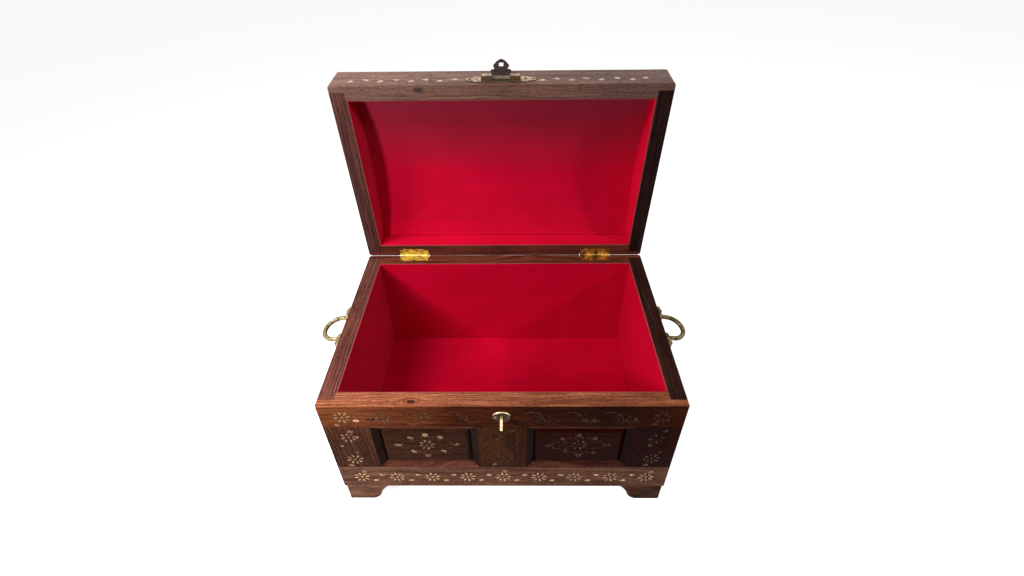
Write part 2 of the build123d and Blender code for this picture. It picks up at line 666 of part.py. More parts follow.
flap += x_cylinder(HASP_KNUCKLE_RADIUS, (-FLAP_WIDTH / 2, FLAP_WIDTH / 2))
flap -= x_cylinder(HASP_PIN_RADIUS + PIN_CLEARANCE, (-THROUGH, THROUGH))
flap_turn = 180 - FLAP_LEAN
pieces["hasp_flap"] = LID_FRONT * Pos(0, hasp_axis, HASP_AXIS_OUT) * Rot(-flap_turn, 0, 0) * flap

# ---- Staple on the front top rail: an oval plate, a flat tongue with an eye, and a tang ----
staple_place = FRONT_FACE * Pos(0, rim - STAPLE_DROP, 0)
staple = extrude(Ellipse(STAPLE_PLATE_LENGTH / 2, STAPLE_PLATE_HEIGHT / 2), STAPLE_PLATE)
staple = fillet(staple.faces().sort_by(Axis.Z)[-1].edges(), STAPLE_PLATE_ROUND)
tongue_radius = STAPLE_HEIGHT / 2
tongue_plane = Plane(origin=(-STAPLE_WIDTH / 2, 0, 0), x_dir=(0, 1, 0), z_dir=(1, 0, 0))
eye_reach = STAPLE_REACH - tongue_radius
tongue_face = Pos(0, eye_reach / 2) * Rectangle(STAPLE_HEIGHT, eye_reach)
tongue_face += Pos(0, eye_reach) * Circle(tongue_radius)
tongue_face -= Pos(0, eye_reach) * Circle(EYE_RADIUS)
staple += extrude(tongue_plane * tongue_face, STAPLE_WIDTH)
staple_tang = block(
    (-STAPLE_WIDTH / 2, STAPLE_WIDTH / 2), (-STAPLE_WIDTH / 2, STAPLE_WIDTH / 2), (-STAPLE_TANG, 0)
)
staple += staple_tang
staple_nails = []
pieces["front_top_rail"] -= staple_place * staple_tang
for x in (-STAPLE_NAIL_SPREAD, STAPLE_NAIL_SPREAD):
    staple_nails.append(Pos(x, 0, STAPLE_PLATE) * domed_nail(STAPLE_NAIL))
    hole = Pos(x, 0, STAPLE_PLATE) * domed_nail(STAPLE_NAIL, NAIL_FIT)
    staple -= hole
    pieces["front_top_rail"] -= staple_place * hole
pieces["staple"] = staple_place * staple
pieces["staple_nails"] = staple_place * group(staple_nails)

# ---- Cast side pulls: X along the chest's depth, Y up, Z out of the side ----
pull_place = RIGHT_FACE * Pos(-PULL_FORWARD, rim - PULL_DROP, 0)
half_span = PULL_SPAN / 2
lug_length = (PULL_LENGTH - PULL_SPAN) / 2 + 2 * PULL_ROD_RADIUS
lug_middle = PULL_LENGTH / 2 - lug_length / 2
arch_plane = Plane(origin=(0, 0, 0), x_dir=(1, 0, 0), z_dir=(0, -1, 0))
bow = EllipticalCenterArc((0, PULL_LEG), half_span, PULL_REACH - PULL_LEG, arc_size=180)
leg_in = Line((half_span, 0), (half_span, PULL_LEG))
leg_out = Line((-half_span, PULL_LEG), (-half_span, 0))
arch_path = Rot(PULL_DROOP, 0, 0) * (arch_plane * Wire([leg_in, bow, leg_out]))
rod_section = Plane(origin=arch_path @ 0, z_dir=arch_path % 0) * Circle(PULL_ROD_RADIUS)
pull = sweep(rod_section, path=arch_path)
for sign in (-1, 1):
    lug = extrude(
        Pos(sign * lug_middle, 0) * SlotOverall(lug_length, PULL_LUG_HEIGHT), PULL_LUG
    )
    pull += fillet(lug.faces().sort_by(Axis.Z)[-1].edges(), PULL_LUG_ROUND)
pull -= block((-THROUGH, THROUGH), (-THROUGH, THROUGH), (-THROUGH, 0))
pull_nails = []
for x in (-PULL_NAIL_SPAN / 2, PULL_NAIL_SPAN / 2):
    pull_nails.append(pull_place * Pos(x, 0, PULL_LUG) * domed_nail(PULL_NAIL))
    hole = Pos(x, 0, PULL_LUG) * domed_nail(PULL_NAIL, NAIL_FIT)
    pull -= hole
    pieces["right_side_top_rail"] -= pull_place * hole
pieces["right_pull"] = pull_place * pull
pieces["left_pull"] = mirrored(pieces["right_pull"])
pieces["pull_nails"] = group([*pull_nails, *(mirrored(nail) for nail in pull_nails)])

# ---- The left side repeats the right ----
side_names = [name for name in pieces if name.startswith("right_side_")]
for name in side_names:
    pieces[name.replace("right_side_", "left_side_")] = mirrored(pieces[name])

# ---- Open the lid, then centre the whole on its bounding box ----
lid_names = [name for name in pieces if name.startswith(("lid_", "hasp_")) or "hinge_lid" in name]
hinge_axis = Axis((0, hinge_y, hinge_z), (1, 0, 0))
for name in lid_names:
    pieces[name] = pieces[name].rotate(hinge_axis, -LID_OPEN_ANGLE)
boxes = [piece.bounding_box() for piece in pieces.values()]
y_shift = -(min(box.min.Y for box in boxes) + max(box.max.Y for box in boxes)) / 2

os.makedirs("parts", exist_ok=True)
for name, piece in pieces.items():
    export_step(Pos(0, y_shift, 0) * piece, f"parts/{name}.step")
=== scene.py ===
import json
import math

import bpy
import numpy as np
from mathutils import Euler, Matrix, Vector


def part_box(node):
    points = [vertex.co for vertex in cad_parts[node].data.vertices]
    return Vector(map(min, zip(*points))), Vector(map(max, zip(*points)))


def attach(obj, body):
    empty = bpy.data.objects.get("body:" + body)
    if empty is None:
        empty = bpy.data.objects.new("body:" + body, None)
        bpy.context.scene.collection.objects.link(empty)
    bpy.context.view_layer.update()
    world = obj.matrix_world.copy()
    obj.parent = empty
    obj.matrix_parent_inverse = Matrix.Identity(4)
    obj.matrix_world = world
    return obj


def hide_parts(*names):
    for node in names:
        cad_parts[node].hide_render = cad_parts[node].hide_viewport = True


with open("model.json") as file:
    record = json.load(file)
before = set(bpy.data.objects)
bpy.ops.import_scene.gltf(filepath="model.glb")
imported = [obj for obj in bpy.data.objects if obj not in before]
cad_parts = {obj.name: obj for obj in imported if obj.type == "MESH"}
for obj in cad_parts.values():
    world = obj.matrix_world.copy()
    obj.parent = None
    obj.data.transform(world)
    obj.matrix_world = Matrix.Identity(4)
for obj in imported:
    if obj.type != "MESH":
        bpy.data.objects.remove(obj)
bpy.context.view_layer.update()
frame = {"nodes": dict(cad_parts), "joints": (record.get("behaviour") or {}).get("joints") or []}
nodes = frame["nodes"]


# ---- Front wall ----
# Rails, stiles and raised panels of sheesham, the Indian rosewood, planed, oiled and waxed.
# Each board comes from another place in the log, with its own tone and its own run of grain.
def linear(code):
    """sRGB hex to linear: c / 12.92 up to 0.04045, and ((c + 0.055) / 1.055) ** 2.4 above."""
    c = np.array([int(code[i : i + 2], 16) for i in (1, 3, 5)]) / 255
    return (*np.where(c <= 0.04045, c / 12.92, ((c + 0.055) / 1.055) ** 2.4), 1.0)


def add(tree, kind, sockets=None, stops=None, **settings):
    """Adds a node. sockets maps an input to a value or an output, and stops fill a colour ramp."""
    node = tree.nodes.new("ShaderNode" + kind)
    for key, value in settings.items():
        setattr(node, key, value)
    for key, value in (sockets or {}).items():
        if isinstance(value, bpy.types.NodeSocket):
            tree.links.new(value, node.inputs[key])
        else:
            node.inputs[key].default_value = value
    for index, (place, colour) in enumerate(stops or []):
        elements = node.color_ramp.elements
        element = elements[index] if index < 2 else elements.new(place)
        element.position, element.color = place, colour
    return node


def blank(name):
    """A new material and its emptied tree."""
    material = bpy.data.materials.new(name)
    material.use_nodes = True
    material.node_tree.nodes.clear()
    return material, material.node_tree


def per(sizes):
    """The factors that draw a pattern at those sizes, 1 / size each."""
    return tuple(1 / size for size in sizes)


def varied(tree, colour, pattern, low, high):
    """The colour times a factor that goes from low to high as the pattern goes from 0.3 to 0.7."""
    span = {"Value": pattern, "From Min": 0.3, "From Max": 0.7, "To Min": low, "To Max": high}
    factor = add(tree, "MapRange", span).outputs[0]
    product = {"Factor": 1.0, 6: colour, 7: factor}
    return add(tree, "Mix", product, data_type="RGBA", blend_type="MULTIPLY").outputs[2]


# Turns that lay the grain along an axis
ALONG_X = (0.0, 0.0, 0.0)
ALONG_Y = (0.0, 0.0, -math.pi / 2)
ALONG_Z = (0.0, math.pi / 2, 0.0)
# The figure of the wood in mm, along the grain first and then across it; PITH is across it both ways
TO_MM = (1000, 1000, 1000)
PITH = (58.0, 34.0)
DRIFT, DRIFT_BY = (90, 34, 34), (0, 9, 9)
STREAK_LENGTH, STREAK_WIDTH = 120, 1.2
FIBRE = (18, 0.9, 0.9)
PORE = (3.6, 0.8, 0.8)
CLOUD = 45
PORE_DEPTH = 0.0002
# A knot's core, skin and reach, as shares of its radius, and how it is drawn out along the grain
KNOT_CORE, KNOT_SKIN, KNOT_REACH = 0.45, 1.1, 2.8
KNOT_OVAL = (0.5, 1, 0)


def rosewood(name, turn, shift, dark, middle, light, knot=None, gloss=0.01, tone=None):
    """Sheesham, its grain along the turned X, all in mm. Rings: r = |(v, w) - pith| after a slow drift.
    Streaks: noise(u / 120, r / 1.2). Fibres: noise(u / 18, v / 0.9, w / 0.9). Clouds: noise of 45 mm.
    Pores: noise(u / 3.6, v / 0.8, w / 0.8), drawn coarser than they are. Round a knot, a place and a radius,
    r is drawn towards the distance from it. tone adds a factor of its own. Waxed, with a low sheen."""
    material, tree = blank(name)
    place = add(tree, "TexCoord").outputs["Object"]
    along = {"Vector": place, "Rotation": turn, "Scale": TO_MM, "Location": shift}
    grain = add(tree, "Mapping", along).outputs[0]
    slow = add(tree, "VectorMath", {0: grain, 1: per(DRIFT)}, operation="MULTIPLY").outputs[0]
    drift = {"Vector": slow, "Scale": 1.0, "Detail": 2.0, "Roughness": 0.5}
    drift = add(tree, "TexNoise", drift).outputs["Color"]
    drift = add(tree, "VectorMath", {0: drift, 1: (0.5, 0.5, 0.5)}, operation="SUBTRACT").outputs[0]
    drift = add(tree, "VectorMath", {0: drift, 1: DRIFT_BY}, operation="MULTIPLY").outputs[0]
    bent = add(tree, "VectorMath", {0: grain, 1: drift}, operation="ADD").outputs[0]
    across = add(tree, "VectorMath", {0: bent, 1: (0, *PITH)}, operation="SUBTRACT").outputs[0]
    across = add(tree, "VectorMath", {0: across, 1: (0, 1, 1)}, operation="MULTIPLY").outputs[0]
    rings = add(tree, "VectorMath", {0: across}, operation="LENGTH").outputs["Value"]
    core = None
    if knot:
        centre = Euler(turn).to_matrix() @ (Vector(knot[0]) * 1000) + Vector(shift)
        radius = knot[1]
        level = math.hypot(centre.y - PITH[0], centre.z - PITH[1])
        near = add(tree, "VectorMath", {0: bent, 1: centre}, operation="SUBTRACT").outputs[0]
        near = add(tree, "VectorMath", {0: near, 1: KNOT_OVAL}, operation="MULTIPLY").outputs[0]
        near = add(tree, "VectorMath", {0: near}, operation="LENGTH").outputs["Value"]
        fades = []
        for low, high in ((1.0, KNOT_REACH), (KNOT_CORE, KNOT_SKIN)):
            fade = {"Value": near, "From Min": low * radius, "From Max": high * radius}
            fade |= {"To Min": 1.0, "To Max": 0.0}
            fades.append(add(tree, "MapRange", fade, interpolation_type="SMOOTHSTEP").outputs[0])
        pull, core = fades
        round_knot = add(tree, "Math", {0: near, 1: level - radius}, operation="ADD").outputs[0]
        rings = add(tree, "Mix", {"Factor": pull, 2: rings, 3: round_knot}).outputs[0]
    u = add(tree, "SeparateXYZ", {0: grain}).outputs["X"]
    u = add(tree, "Math", {0: u, 1: 1 / STREAK_LENGTH}, operation="MULTIPLY").outputs[0]
    r = add(tree, "Math", {0: rings, 1: 1 / STREAK_WIDTH}, operation="MULTIPLY").outputs[0]
    sheet = add(tree, "CombineXYZ", {"X": u, "Y": r}).outputs[0]
    streaks = {"Vector": sheet, "Scale": 1.0, "Detail": 6.0, "Roughness": 0.66}
    streaks = add(tree, "TexNoise", streaks).outputs[0]
    stops = [(0.3, linear(dark)), (0.7, linear(light)), (0.5, linear(middle))]
    colour = add(tree, "ValToRGB", {0: streaks}, stops=stops).outputs[0]
    thin = add(tree, "VectorMath", {0: bent, 1: per(FIBRE)}, operation="MULTIPLY").outputs[0]
    fibres = add(tree, "TexNoise", {"Vector": thin, "Scale": 1.0, "Detail": 3.0}).outputs[0]
    clouds = add(tree, "TexNoise", {"Vector": bent, "Scale": 1 / CLOUD, "Detail": 2.0}).outputs[0]
    colour = varied(tree, colour, fibres, 0.74, 1.22)
    colour = varied(tree, colour, clouds, 0.8, 1.2)
    dash = add(tree, "VectorMath", {0: grain, 1: per(PORE)}, operation="MULTIPLY").outputs[0]
    pores = add(tree, "TexNoise", {"Vector": dash, "Scale": 1.0, "Detail": 1.0}).outputs[0]
    pores = add(tree, "MapRange", {"Value": pores, "From Min": 0.57, "From Max": 0.68}).outputs[0]
    dim = add(tree, "Math", {0: pores, 1: 0.55}, operation="MULTIPLY").outputs[0]
    shaded = {"Factor": dim, 6: colour, 7: linear("#140A07")}
    colour = add(tree, "Mix", shaded, data_type="RGBA").outputs[2]
    if core:
        dim = add(tree, "Math", {0: core, 1: 0.9}, operation="MULTIPLY").outputs[0]
        shaded = {"Factor": dim, 6: colour, 7: linear("#241410")}
        colour = add(tree, "Mix", shaded, data_type="RGBA").outputs[2]
    if tone:
        toned = {"Factor": 1.0, 6: colour, 7: tone(tree, place)}
        colour = add(tree, "Mix", toned, data_type="RGBA", blend_type="MULTIPLY").outputs[2]
    height = add(tree, "Math", {0: fibres, 1: pores}, operation="SUBTRACT").outputs[0]
    bump = {"Height": height, "Strength": 0.35, "Distance": PORE_DEPTH}
    bump = add(tree, "Bump", bump).outputs[0]
    rough = add(tree, "MapRange", {"Value": pores, "To Min": 0.4, "To Max": 0.75}).outputs[0]
    finish = {"Base Color": colour, "Roughness": rough, "Normal": bump}
    finish |= {"IOR": 1.48, "Specular IOR Level": gloss}
    shader = add(tree, "BsdfPrincipled", finish)
    add(tree, "OutputMaterial", {"Surface": shader.outputs[0]})
    return material


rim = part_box("front_top_rail")[1].z
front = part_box("front_top_rail")[0].y


def heartwood_and_painted_falloff(tree, place):
    """The top rail's show face darkens from left to right, darkest 90 mm right of middle: partly a stain
    running into dark red heartwood, partly painted shade for light falling off away from the lamps on the
    left.
    The stops are factors of red, green and blue, not colours, and the other faces keep a factor of 1."""
    at = add(tree, "SeparateXYZ", {0: place}).outputs
    along = add(tree, "MapRange", {"Value": at["X"], "From Min": -0.15, "From Max": 0.15}).outputs[0]
    # The falling stops are partly painted shade: the face is darker where less light reaches it
    stops = [
        (0.0, (0.95, 0.87, 0.62, 1)),
        (1.0, (0.22, 0.11, 0.03, 1)),
        (0.37, (0.33, 0.217, 0.136, 1)),
        (0.8, (0.09, 0.042, 0.012, 1)),
    ]
    stain = add(tree, "ValToRGB", {0: along}, stops=stops).outputs[0]
    behind = {"Value": at["Y"], "From Min": front + 0.0002, "From Max": front + 0.0008}
    behind = add(tree, "MapRange", behind).outputs[0]
    bare = {"Factor": behind, 6: stain, 7: (1, 1, 1, 1)}
    return add(tree, "Mix", bare, data_type="RGBA").outputs[2]


def painted_upright_shade(low, high):
    """The tone of a moulding in that box: its upright strips, where |x - middle| - |z - middle| is over half
    the width less half the height, are painted darker, a factor of 0.13, as painted shade in the recess
    beside the stiles."""
    middle = (low + high) / 2
    mitre = (high.x - low.x - high.z + low.z) / 2

    def tone(tree, place):
        out = add(tree, "VectorMath", {0: place, 1: middle}, operation="SUBTRACT").outputs[0]
        out = add(tree, "VectorMath", {0: out}, operation="ABSOLUTE").outputs[0]
        out = add(tree, "SeparateXYZ", {0: out}).outputs
        lead = add(tree, "Math", {0: out["X"], 1: out["Z"]}, operation="SUBTRACT").outputs[0]
        step = {"Value": lead, "From Min": mitre - 0.0001, "From Max": mitre + 0.0001}
        return add(tree, "MapRange", step | {"To Min": 1.0, "To Max": 0.13}).outputs[0]

    return tone


rail_knot = ((-0.0748, front + 0.0057, rim), 2.4)
nodes["front_top_rail"].material_slots[0].material = rosewood(
    "sheesham_top_rail",
    ALONG_X,
    (0, 12, 5),
    "#562A1C",
    "#92533A",
    "#CD8159",
    rail_knot,
    tone=heartwood_and_painted_falloff,
)
for board, turn, shift, *tones in (
    # The bottom rail is painted lighter than the other boards, partly as painted light for the floor's bounce
    # on it
    ("bottom_rail", ALONG_X, (410, 40, 22), "#58342A", "#8E5F4A", "#B28064"),
    ("left_stile", ALONG_Z, (90, 7, 61), "#321915", "#5B3425", "#794A33"),
    ("centre_stile", ALONG_Z, (230, 31, 13), "#2C1309", "#512D19", "#683D21"),
    ("right_stile", ALONG_Z, (330, 3, 88), "#160202", "#2A0605", "#3A0D07"),
    ("left_panel", ALONG_X, (150, 71, 9), "#26150D", "#4B2B1C", "#5E3724"),
    ("right_panel", ALONG_X, (450, 71, 29), "#170301", "#310C05", "#3F1208"),
):
    wood = rosewood(f"sheesham_{board}", turn, shift, *tones)
    nodes[f"front_{board}"].material_slots[0].material = wood
for board, shift, *tones in (
    ("left_moulding", (50, 33, 17), "#3C211A", "#794537", "#9C6652"),
    ("right_moulding", (220, 33, 17), "#311914", "#65372C", "#825043"),
):
    # Painted shade on the mouldings' upright strips
    moulding_shade = painted_upright_shade(*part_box(f"front_{board}"))
    wood = rosewood(f"sheesham_{board}", ALONG_X, shift, *tones, tone=moulding_shade)
    nodes[f"front_{board}"].material_slots[0].material = wood


# ---- Side and back walls ----
# The side walls are framed as the front is, and the back is one plain board rebated over their ends.
# The right side is darker than the left: partly darker heartwood, partly painted shade for the sheen it
# misses, as the light falls from the left.
side_boards = (
    ("top_rail", ALONG_Y),
    ("bottom_rail", ALONG_Y),
    ("front_stile", ALONG_Z),
    ("back_stile", ALONG_Z),
    ("panel", ALONG_Y),
    ("moulding", ALONG_Y),
)
for side, start, *tones in (
    ("left", 0, "#3B201B", "#6D3F35", "#8D594D"),
    # The right side's tones are partly painted shade
    ("right", 500, "#1D0D0C", "#341D18", "#51312D"),
):
    for index, (board, turn) in enumerate(side_boards):
        name = f"{side}_side_{board}"
        shift = (start + 130 * index, 20 + 17 * index, 9 * index)
        nodes[name].material_slots[0].material = rosewood(f"sheesham_{name}", turn, shift, *tones)
for name, shift, *tones in (
    ("back_board", (700, 25, 18), "#3D1911", "#6B3526", "#8E4C37"),
    ("floor_board", (900, 51, 8), "#3A2219", "#6A4532", "#8A6248"),
):
    nodes[name].material_slots[0].material = rosewood(f"sheesham_{name}", ALONG_X, shift, *tones)


# ---- Feet ----
# Four ogee bracket feet, bandsawn from offcuts of the same wood and glued under the corners.
# The left ones came out of paler sapwood.
foot_tones = {
    "left": ("#6E4838", "#B47E64", "#DCA486"),
    "right": ("#40241A", "#704630", "#8E5E44"),
}
for row, row_shift in (("front", 0), ("back", 40)):
    for side, side_shift in (("left", 0), ("right", 90)):
        name = f"{row}_{side}_foot"
        far = row_shift + side_shift
        wood = rosewood(f"sheesham_{name}", ALONG_X, (far, 14 + far, 25), *foot_tones[side])
        nodes[name].material_slots[0].material = wood


# ---- Lid boards ----
# A bent top board over two rails and two arched ends of sheesham, glued and planed flush.
# The lid stands open, so the grain is turned back with it.
lid_joint = next(joint for joint in frame["joints"] if joint["name"] == "lid_hinge")
open_angle = math.radians(max(lid_joint["range_deg"]))
hinge_line = np.array(lid_joint["pos_m"])
lid_rim = 2 * hinge_line[2] - rim
LID_ALONG_X = (open_angle, 0.0, 0.0)
LID_ALONG_Y = (open_angle, 0.0, -math.pi / 2)


def opened(points):
    """Closed-lid points, opened about the hinge line: y' = y cos a + z sin a, z' = z cos a - y sin a."""
    y, z = points[..., 1] - hinge_line[1], points[..., 2] - hinge_line[2]
    turned = [
        points[..., 0],
        y * math.cos(open_angle) + z * math.sin(open_angle) + hinge_line[1],
        z * math.cos(open_angle) - y * math.sin(open_angle) + hinge_line[2],
    ]
    return np.stack(turned, axis=-1)


def painted_falloff_from_left(tree, place):
    """The board goes from a factor of 1.14 at its left end to 0.88 at its right: partly sapwood running into
    older wood, partly painted light falling off away from the lamps on the left.
    """
    at = add(tree, "SeparateXYZ", {0: place}).outputs["X"]
    span = {"Value": at, "From Min": -0.15, "From Max": 0.15, "To Min": 1.14, "To Max": 0.88}
    return add(tree, "MapRange", span).outputs[0]


lid_knot = (opened(np.array((-0.0734, front + 0.0045, lid_rim))), 3.2)
# Its left end is painted lighter, partly as painted light
nodes["lid_front_rail"].material_slots[0].material = rosewood(
    "sheesham_lid_front_rail",
    LID_ALONG_X,
    (0, 44, 31),
    "#341F1A",
    "#6D4A3E",
    "#8A6658",
    lid_knot,
    0.25,
    painted_falloff_from_left,
)
for name, turn, shift, *tones in (
    ("lid_back_rail", LID_ALONG_X, (300, 14, 44), "#371611", "#6A3328", "#884737"),
    ("lid_board", LID_ALONG_X, (620, 30, 12), "#3A221A", "#6C4738", "#8C6654"),
    ("lid_left_end", LID_ALONG_Y, (80, 62, 20), "#331C1B", "#5A3632", "#7B4E47"),
    # The right end is painted near black, partly as painted shade, as on the right side
    ("lid_right_end", LID_ALONG_Y, (480, 12, 70), "#180E0E", "#2E1C1B", "#4C312E"),
):
    nodes[name].material_slots[0].material = rosewood(f"sheesham_{name}", turn, shift, *tones)


# ---- Slips along the back rims ----
# Thin slips of the same wood, glued along both back rims, beside and between the hinges, 0.1 mm proud of
# the boards. They all but meet when the lid is shut and leave a hair of light when it stands open.
# Their edges are worn in waves.
SLIP_WIDTH, SLIP_ROOT, SLIP_WEAR, SLIP_STEP = 0.0007, 0.0004, 0.00004, 0.002
BETWEEN_HINGES, PAST_HINGES, OUTER_END = 0.0848, 0.1192, 0.1512
slips = (
    (-OUTER_END, -PAST_HINGES, 0.0002),
    (-BETWEEN_HINGES, BETWEEN_HINGES, 0.00033),
    (PAST_HINGES, OUTER_END, 0.0002),
)


def new_piece(name, points, faces, material):
    """An object of one material, at the origin, with its place in its mesh."""
    mesh = bpy.data.meshes.new(name)
    mesh.from_pydata(points.tolist(), [], faces.tolist())
    mesh.materials.append(material)
    piece = bpy.data.objects.new(name, mesh)
    bpy.context.scene.collection.objects.link(piece)
    return piece


def back_slips(name, node, level, way, place):
    """Slips along x. Profile: (back - w, level - root), (back, level - root), (back, level + h), (back - w,
    level + h), with back the hinge line and h = proud - wear (1 + sin(x / 11 mm + 2 sin(x / 37 mm))) / 2.
    way turns root and h over for the lid."""
    points, faces = [], []
    for left, right, proud in slips:
        x = np.linspace(left, right, int((right - left) / SLIP_STEP))
        h = proud - SLIP_WEAR * (1 + np.sin(x / 0.011 + 2 * np.sin(x / 0.037))) / 2
        root = np.full(len(x), -SLIP_ROOT)
        y = np.broadcast_to(hinge_line[1] - np.array((SLIP_WIDTH, 0, 0, SLIP_WIDTH)), (len(x), 4))
        z = level + way * np.stack([root, root, h, h], -1)
        grid = sum(map(len, points)) + np.arange(4 * len(x)).reshape(-1, 4)
        after = np.roll(grid, -1, axis=1)
        faces.append(np.stack([grid[:-1], after[:-1], after[1:], grid[1:]], -1).reshape(-1, 4))
        faces.append(np.stack([grid[0, ::-1], grid[-1]]))
        points.append(np.stack([np.broadcast_to(x[:, None], y.shape), y, z], -1).reshape(-1, 3))
    wood = nodes[node].material_slots[0].material
    piece = new_piece(name, place(np.concatenate(points)), np.concatenate(faces)[:, ::way], wood)
    return piece


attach(back_slips("chest_back_slips", "back_board", rim, 1, lambda points: points), "chest")
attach(back_slips("lid_back_slips", "lid_back_rail", lid_rim, -1, opened), "lid")


# ---- Cloth lining ----
# Crimson flocked cloth pasted on card, cut to size and glued to the wood. It is matt, with a short nap and a
# faint unevenness from the glue, and the card's cut edge shows as a thin pale line just under the rim.
CARD, EDGE_TURN, GLUE_FILM = 0.0013, 0.0004, 0.00002
GLUE_SWELL, SWELL_FADE = 0.00014, 0.006
BEAD, BEAD_IN, BEAD_HALF = 0.0003, 0.001, 0.0004
# Grid lines over the turned edge, as shares of it, over the bead, and the most between the others
TURN_LINES, BEAD_LINES, GRID_STEP = (0, 0.12, 0.35, 0.65, 1), (0.001, 0.0016, 0.0024), 0.005
# The pattern of the cloth in mm
LAID, BLOTCH, NAP = (150, 6, 6), 35, 0.5
NAP_DEPTH = 0.0003


def flocked_cloth(name, turn, gloss, deep, bright):
    """Nap: noise of 0.5 mm, drawn as coarse as shows. Laid streaks: noise(u / 150, v / 6). Blotches: 35 mm.
    Another value of the sheet darkens and greys the cloth as painted shade and sheen, and its cut value, 1 on
    the card's edge, turns it to bare card."""
    material, tree = blank(name)
    place = add(tree, "TexCoord").outputs["Object"]
    cloth = add(tree, "Mapping", {"Vector": place, "Rotation": turn, "Scale": TO_MM}).outputs[0]
    cloud = add(tree, "TexNoise", {"Vector": cloth, "Scale": 1 / BLOTCH, "Detail": 3.0}).outputs[0]
    laid = add(tree, "VectorMath", {0: cloth, 1: per(LAID)}, operation="MULTIPLY").outputs[0]
    laid = add(tree, "TexNoise", {"Vector": laid, "Scale": 1.0, "Detail": 3.0}).outputs[0]
    nap = add(tree, "TexNoise", {"Vector": cloth, "Scale": 1 / NAP, "Detail": 2.0}).outputs[0]
    stops = [(0.3, linear(deep)), (0.7, linear(bright))]
    colour = add(tree, "ValToRGB", {0: cloud}, stops=stops).outputs[0]
    colour = varied(tree, colour, laid, 0.95, 1.04)
    colour = varied(tree, colour, nap, 0.92, 1.06)
    # 793348 is painted shade and sheen; #8E5448 is the bare card's own colour
    for value, shade in (("painted_light", "#793348"), ("cut", "#8E5448")):
        share = add(tree, "Attribute", attribute_name=value).outputs["Fac"]
        shaded = {"Factor": share, 6: colour, 7: linear(shade)}
        colour = add(tree, "Mix", shaded, data_type="RGBA").outputs[2]
    bump = add(tree, "Bump", {"Height": nap, "Strength": 0.25, "Distance": NAP_DEPTH}).outputs[0]
    finish = {"Base Color": colour, "Roughness": 0.9, "Specular IOR Level": gloss, "Normal": bump}
    finish |= {"Sheen Weight": 0.05, "Sheen Tint": linear("#FF3050")}
    shader = add(tree, "BsdfPrincipled", finish)
    add(tree, "OutputMaterial", {"Surface": shader.outputs[0]})
    return material


def lining_sheet(name, node, face, size, cloth, bare_edge=None, bead=0.0, painted_light=np.zeros_like):
    """A closed shell of card and cloth over face(s, t), the seen side and its outward direction n. Within
    EDGE_TURN of its border, at distance d, the seen side sinks by EDGE_TURN - sqrt(EDGE_TURN ** 2 -
    (EDGE_TURN - d) ** 2). Elsewhere it stands proud by a bead, BEAD_IN from its border, and by half of
    GLUE_SWELL times sin(a / 7.1 mm + 3.1 sin(b / 31 mm)) + sin(b / 9.4 mm + 2.3 sin(a / 43 mm)), where a and
    b run along it and up it. The swell fades out at its border."""
    near = np.concatenate([np.array(TURN_LINES) * EDGE_TURN, BEAD_LINES])
    rows = []
    for width in size:
        edge = near / width
        middle = np.linspace(edge[-1], 1 - edge[-1], max(3, int(width / GRID_STEP)))[1:-1]
        rows.append(np.concatenate([edge, middle, 1 - edge[::-1]]))
    s, t = np.meshgrid(*rows, indexing="ij")
    points, out = face(s, t)
    d = np.minimum(np.minimum(s, 1 - s) * size[0], np.minimum(t, 1 - t) * size[1])
    inner = np.maximum(0, EDGE_TURN - d)
    a, b = s * size[0], t * size[1]
    waves = np.sin(a / 0.0071 + 3.1 * np.sin(b / 0.031)) + np.sin(b / 0.0094 + 2.3 * np.sin(a / 0.043))
    swell = GLUE_SWELL * 0.5 * waves * np.clip(d / SWELL_FADE, 0, 1)
    rise = swell + bead * np.exp(-(((d - BEAD_IN) / BEAD_HALF) ** 2))
    seen = points + out * (rise - EDGE_TURN + np.sqrt(EDGE_TURN**2 - inner**2))[..., None]
    glued = points - out * (CARD - GLUE_FILM)
    cut = np.zeros(s.shape)
    if bare_edge is not None:
        cut[:, bare_edge] = 1
        cut[:, bare_edge + (1 if bare_edge == 0 else -1)] = 0.7
    n, m = s.shape
    grid = np.arange(n * m).reshape(n, m)
    quads = np.stack([grid[:-1, :-1], grid[1:, :-1], grid[1:, 1:], grid[:-1, 1:]], -1).reshape(-1, 4)
    loop = np.concatenate([grid[:-1, 0], grid[-1, :-1], grid[:0:-1, -1], grid[0, :0:-1]])
    after = np.roll(loop, -1)
    wall = np.stack([after, loop, loop + n * m, after + n * m], -1)
    faces = np.concatenate([quads, quads[:, ::-1] + n * m, wall])
    points = np.concatenate([seen.reshape(-1, 3), glued.reshape(-1, 3)])
    first, second, third = (points[faces[:, k]] for k in (0, 1, 2))
    middle = points.mean(0)
    if np.einsum("ij,ij->i", first - middle, np.cross(second - middle, third - middle)).sum() < 0:
        faces = faces[:, ::-1]
    piece = new_piece(name, points, faces, cloth)
    piece.data.polygons.foreach_set("use_smooth", np.arange(len(faces)) < len(quads))
    for key, value in (("cut", cut), ("painted_light", painted_light(t))):
        value = np.tile(value.reshape(-1), 2).astype(np.float32)
        piece.data.attributes.new(key, "FLOAT", "POINT").data.foreach_set("value", value)
    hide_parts(node)
    tuple(float(w) for w in size)
    return piece


def flat_face(node, axis, side):
    """The seen face of a flat sheet, the one on that side of its box, over the box's other two axes."""
    low, high = (np.array(corner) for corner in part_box(node))
    over = [k for k in range(3) if k != axis]

    def face(s, t):
        points = np.empty((*s.shape, 3))
        points[..., axis] = (low, high)[side][axis]
        for k, share in zip(over, (s, t)):
            points[..., k] = low[k] + share * (high - low)[k]
        return points, np.eye(3)[axis] * (2 * side - 1)

    return face, (high - low)[over]


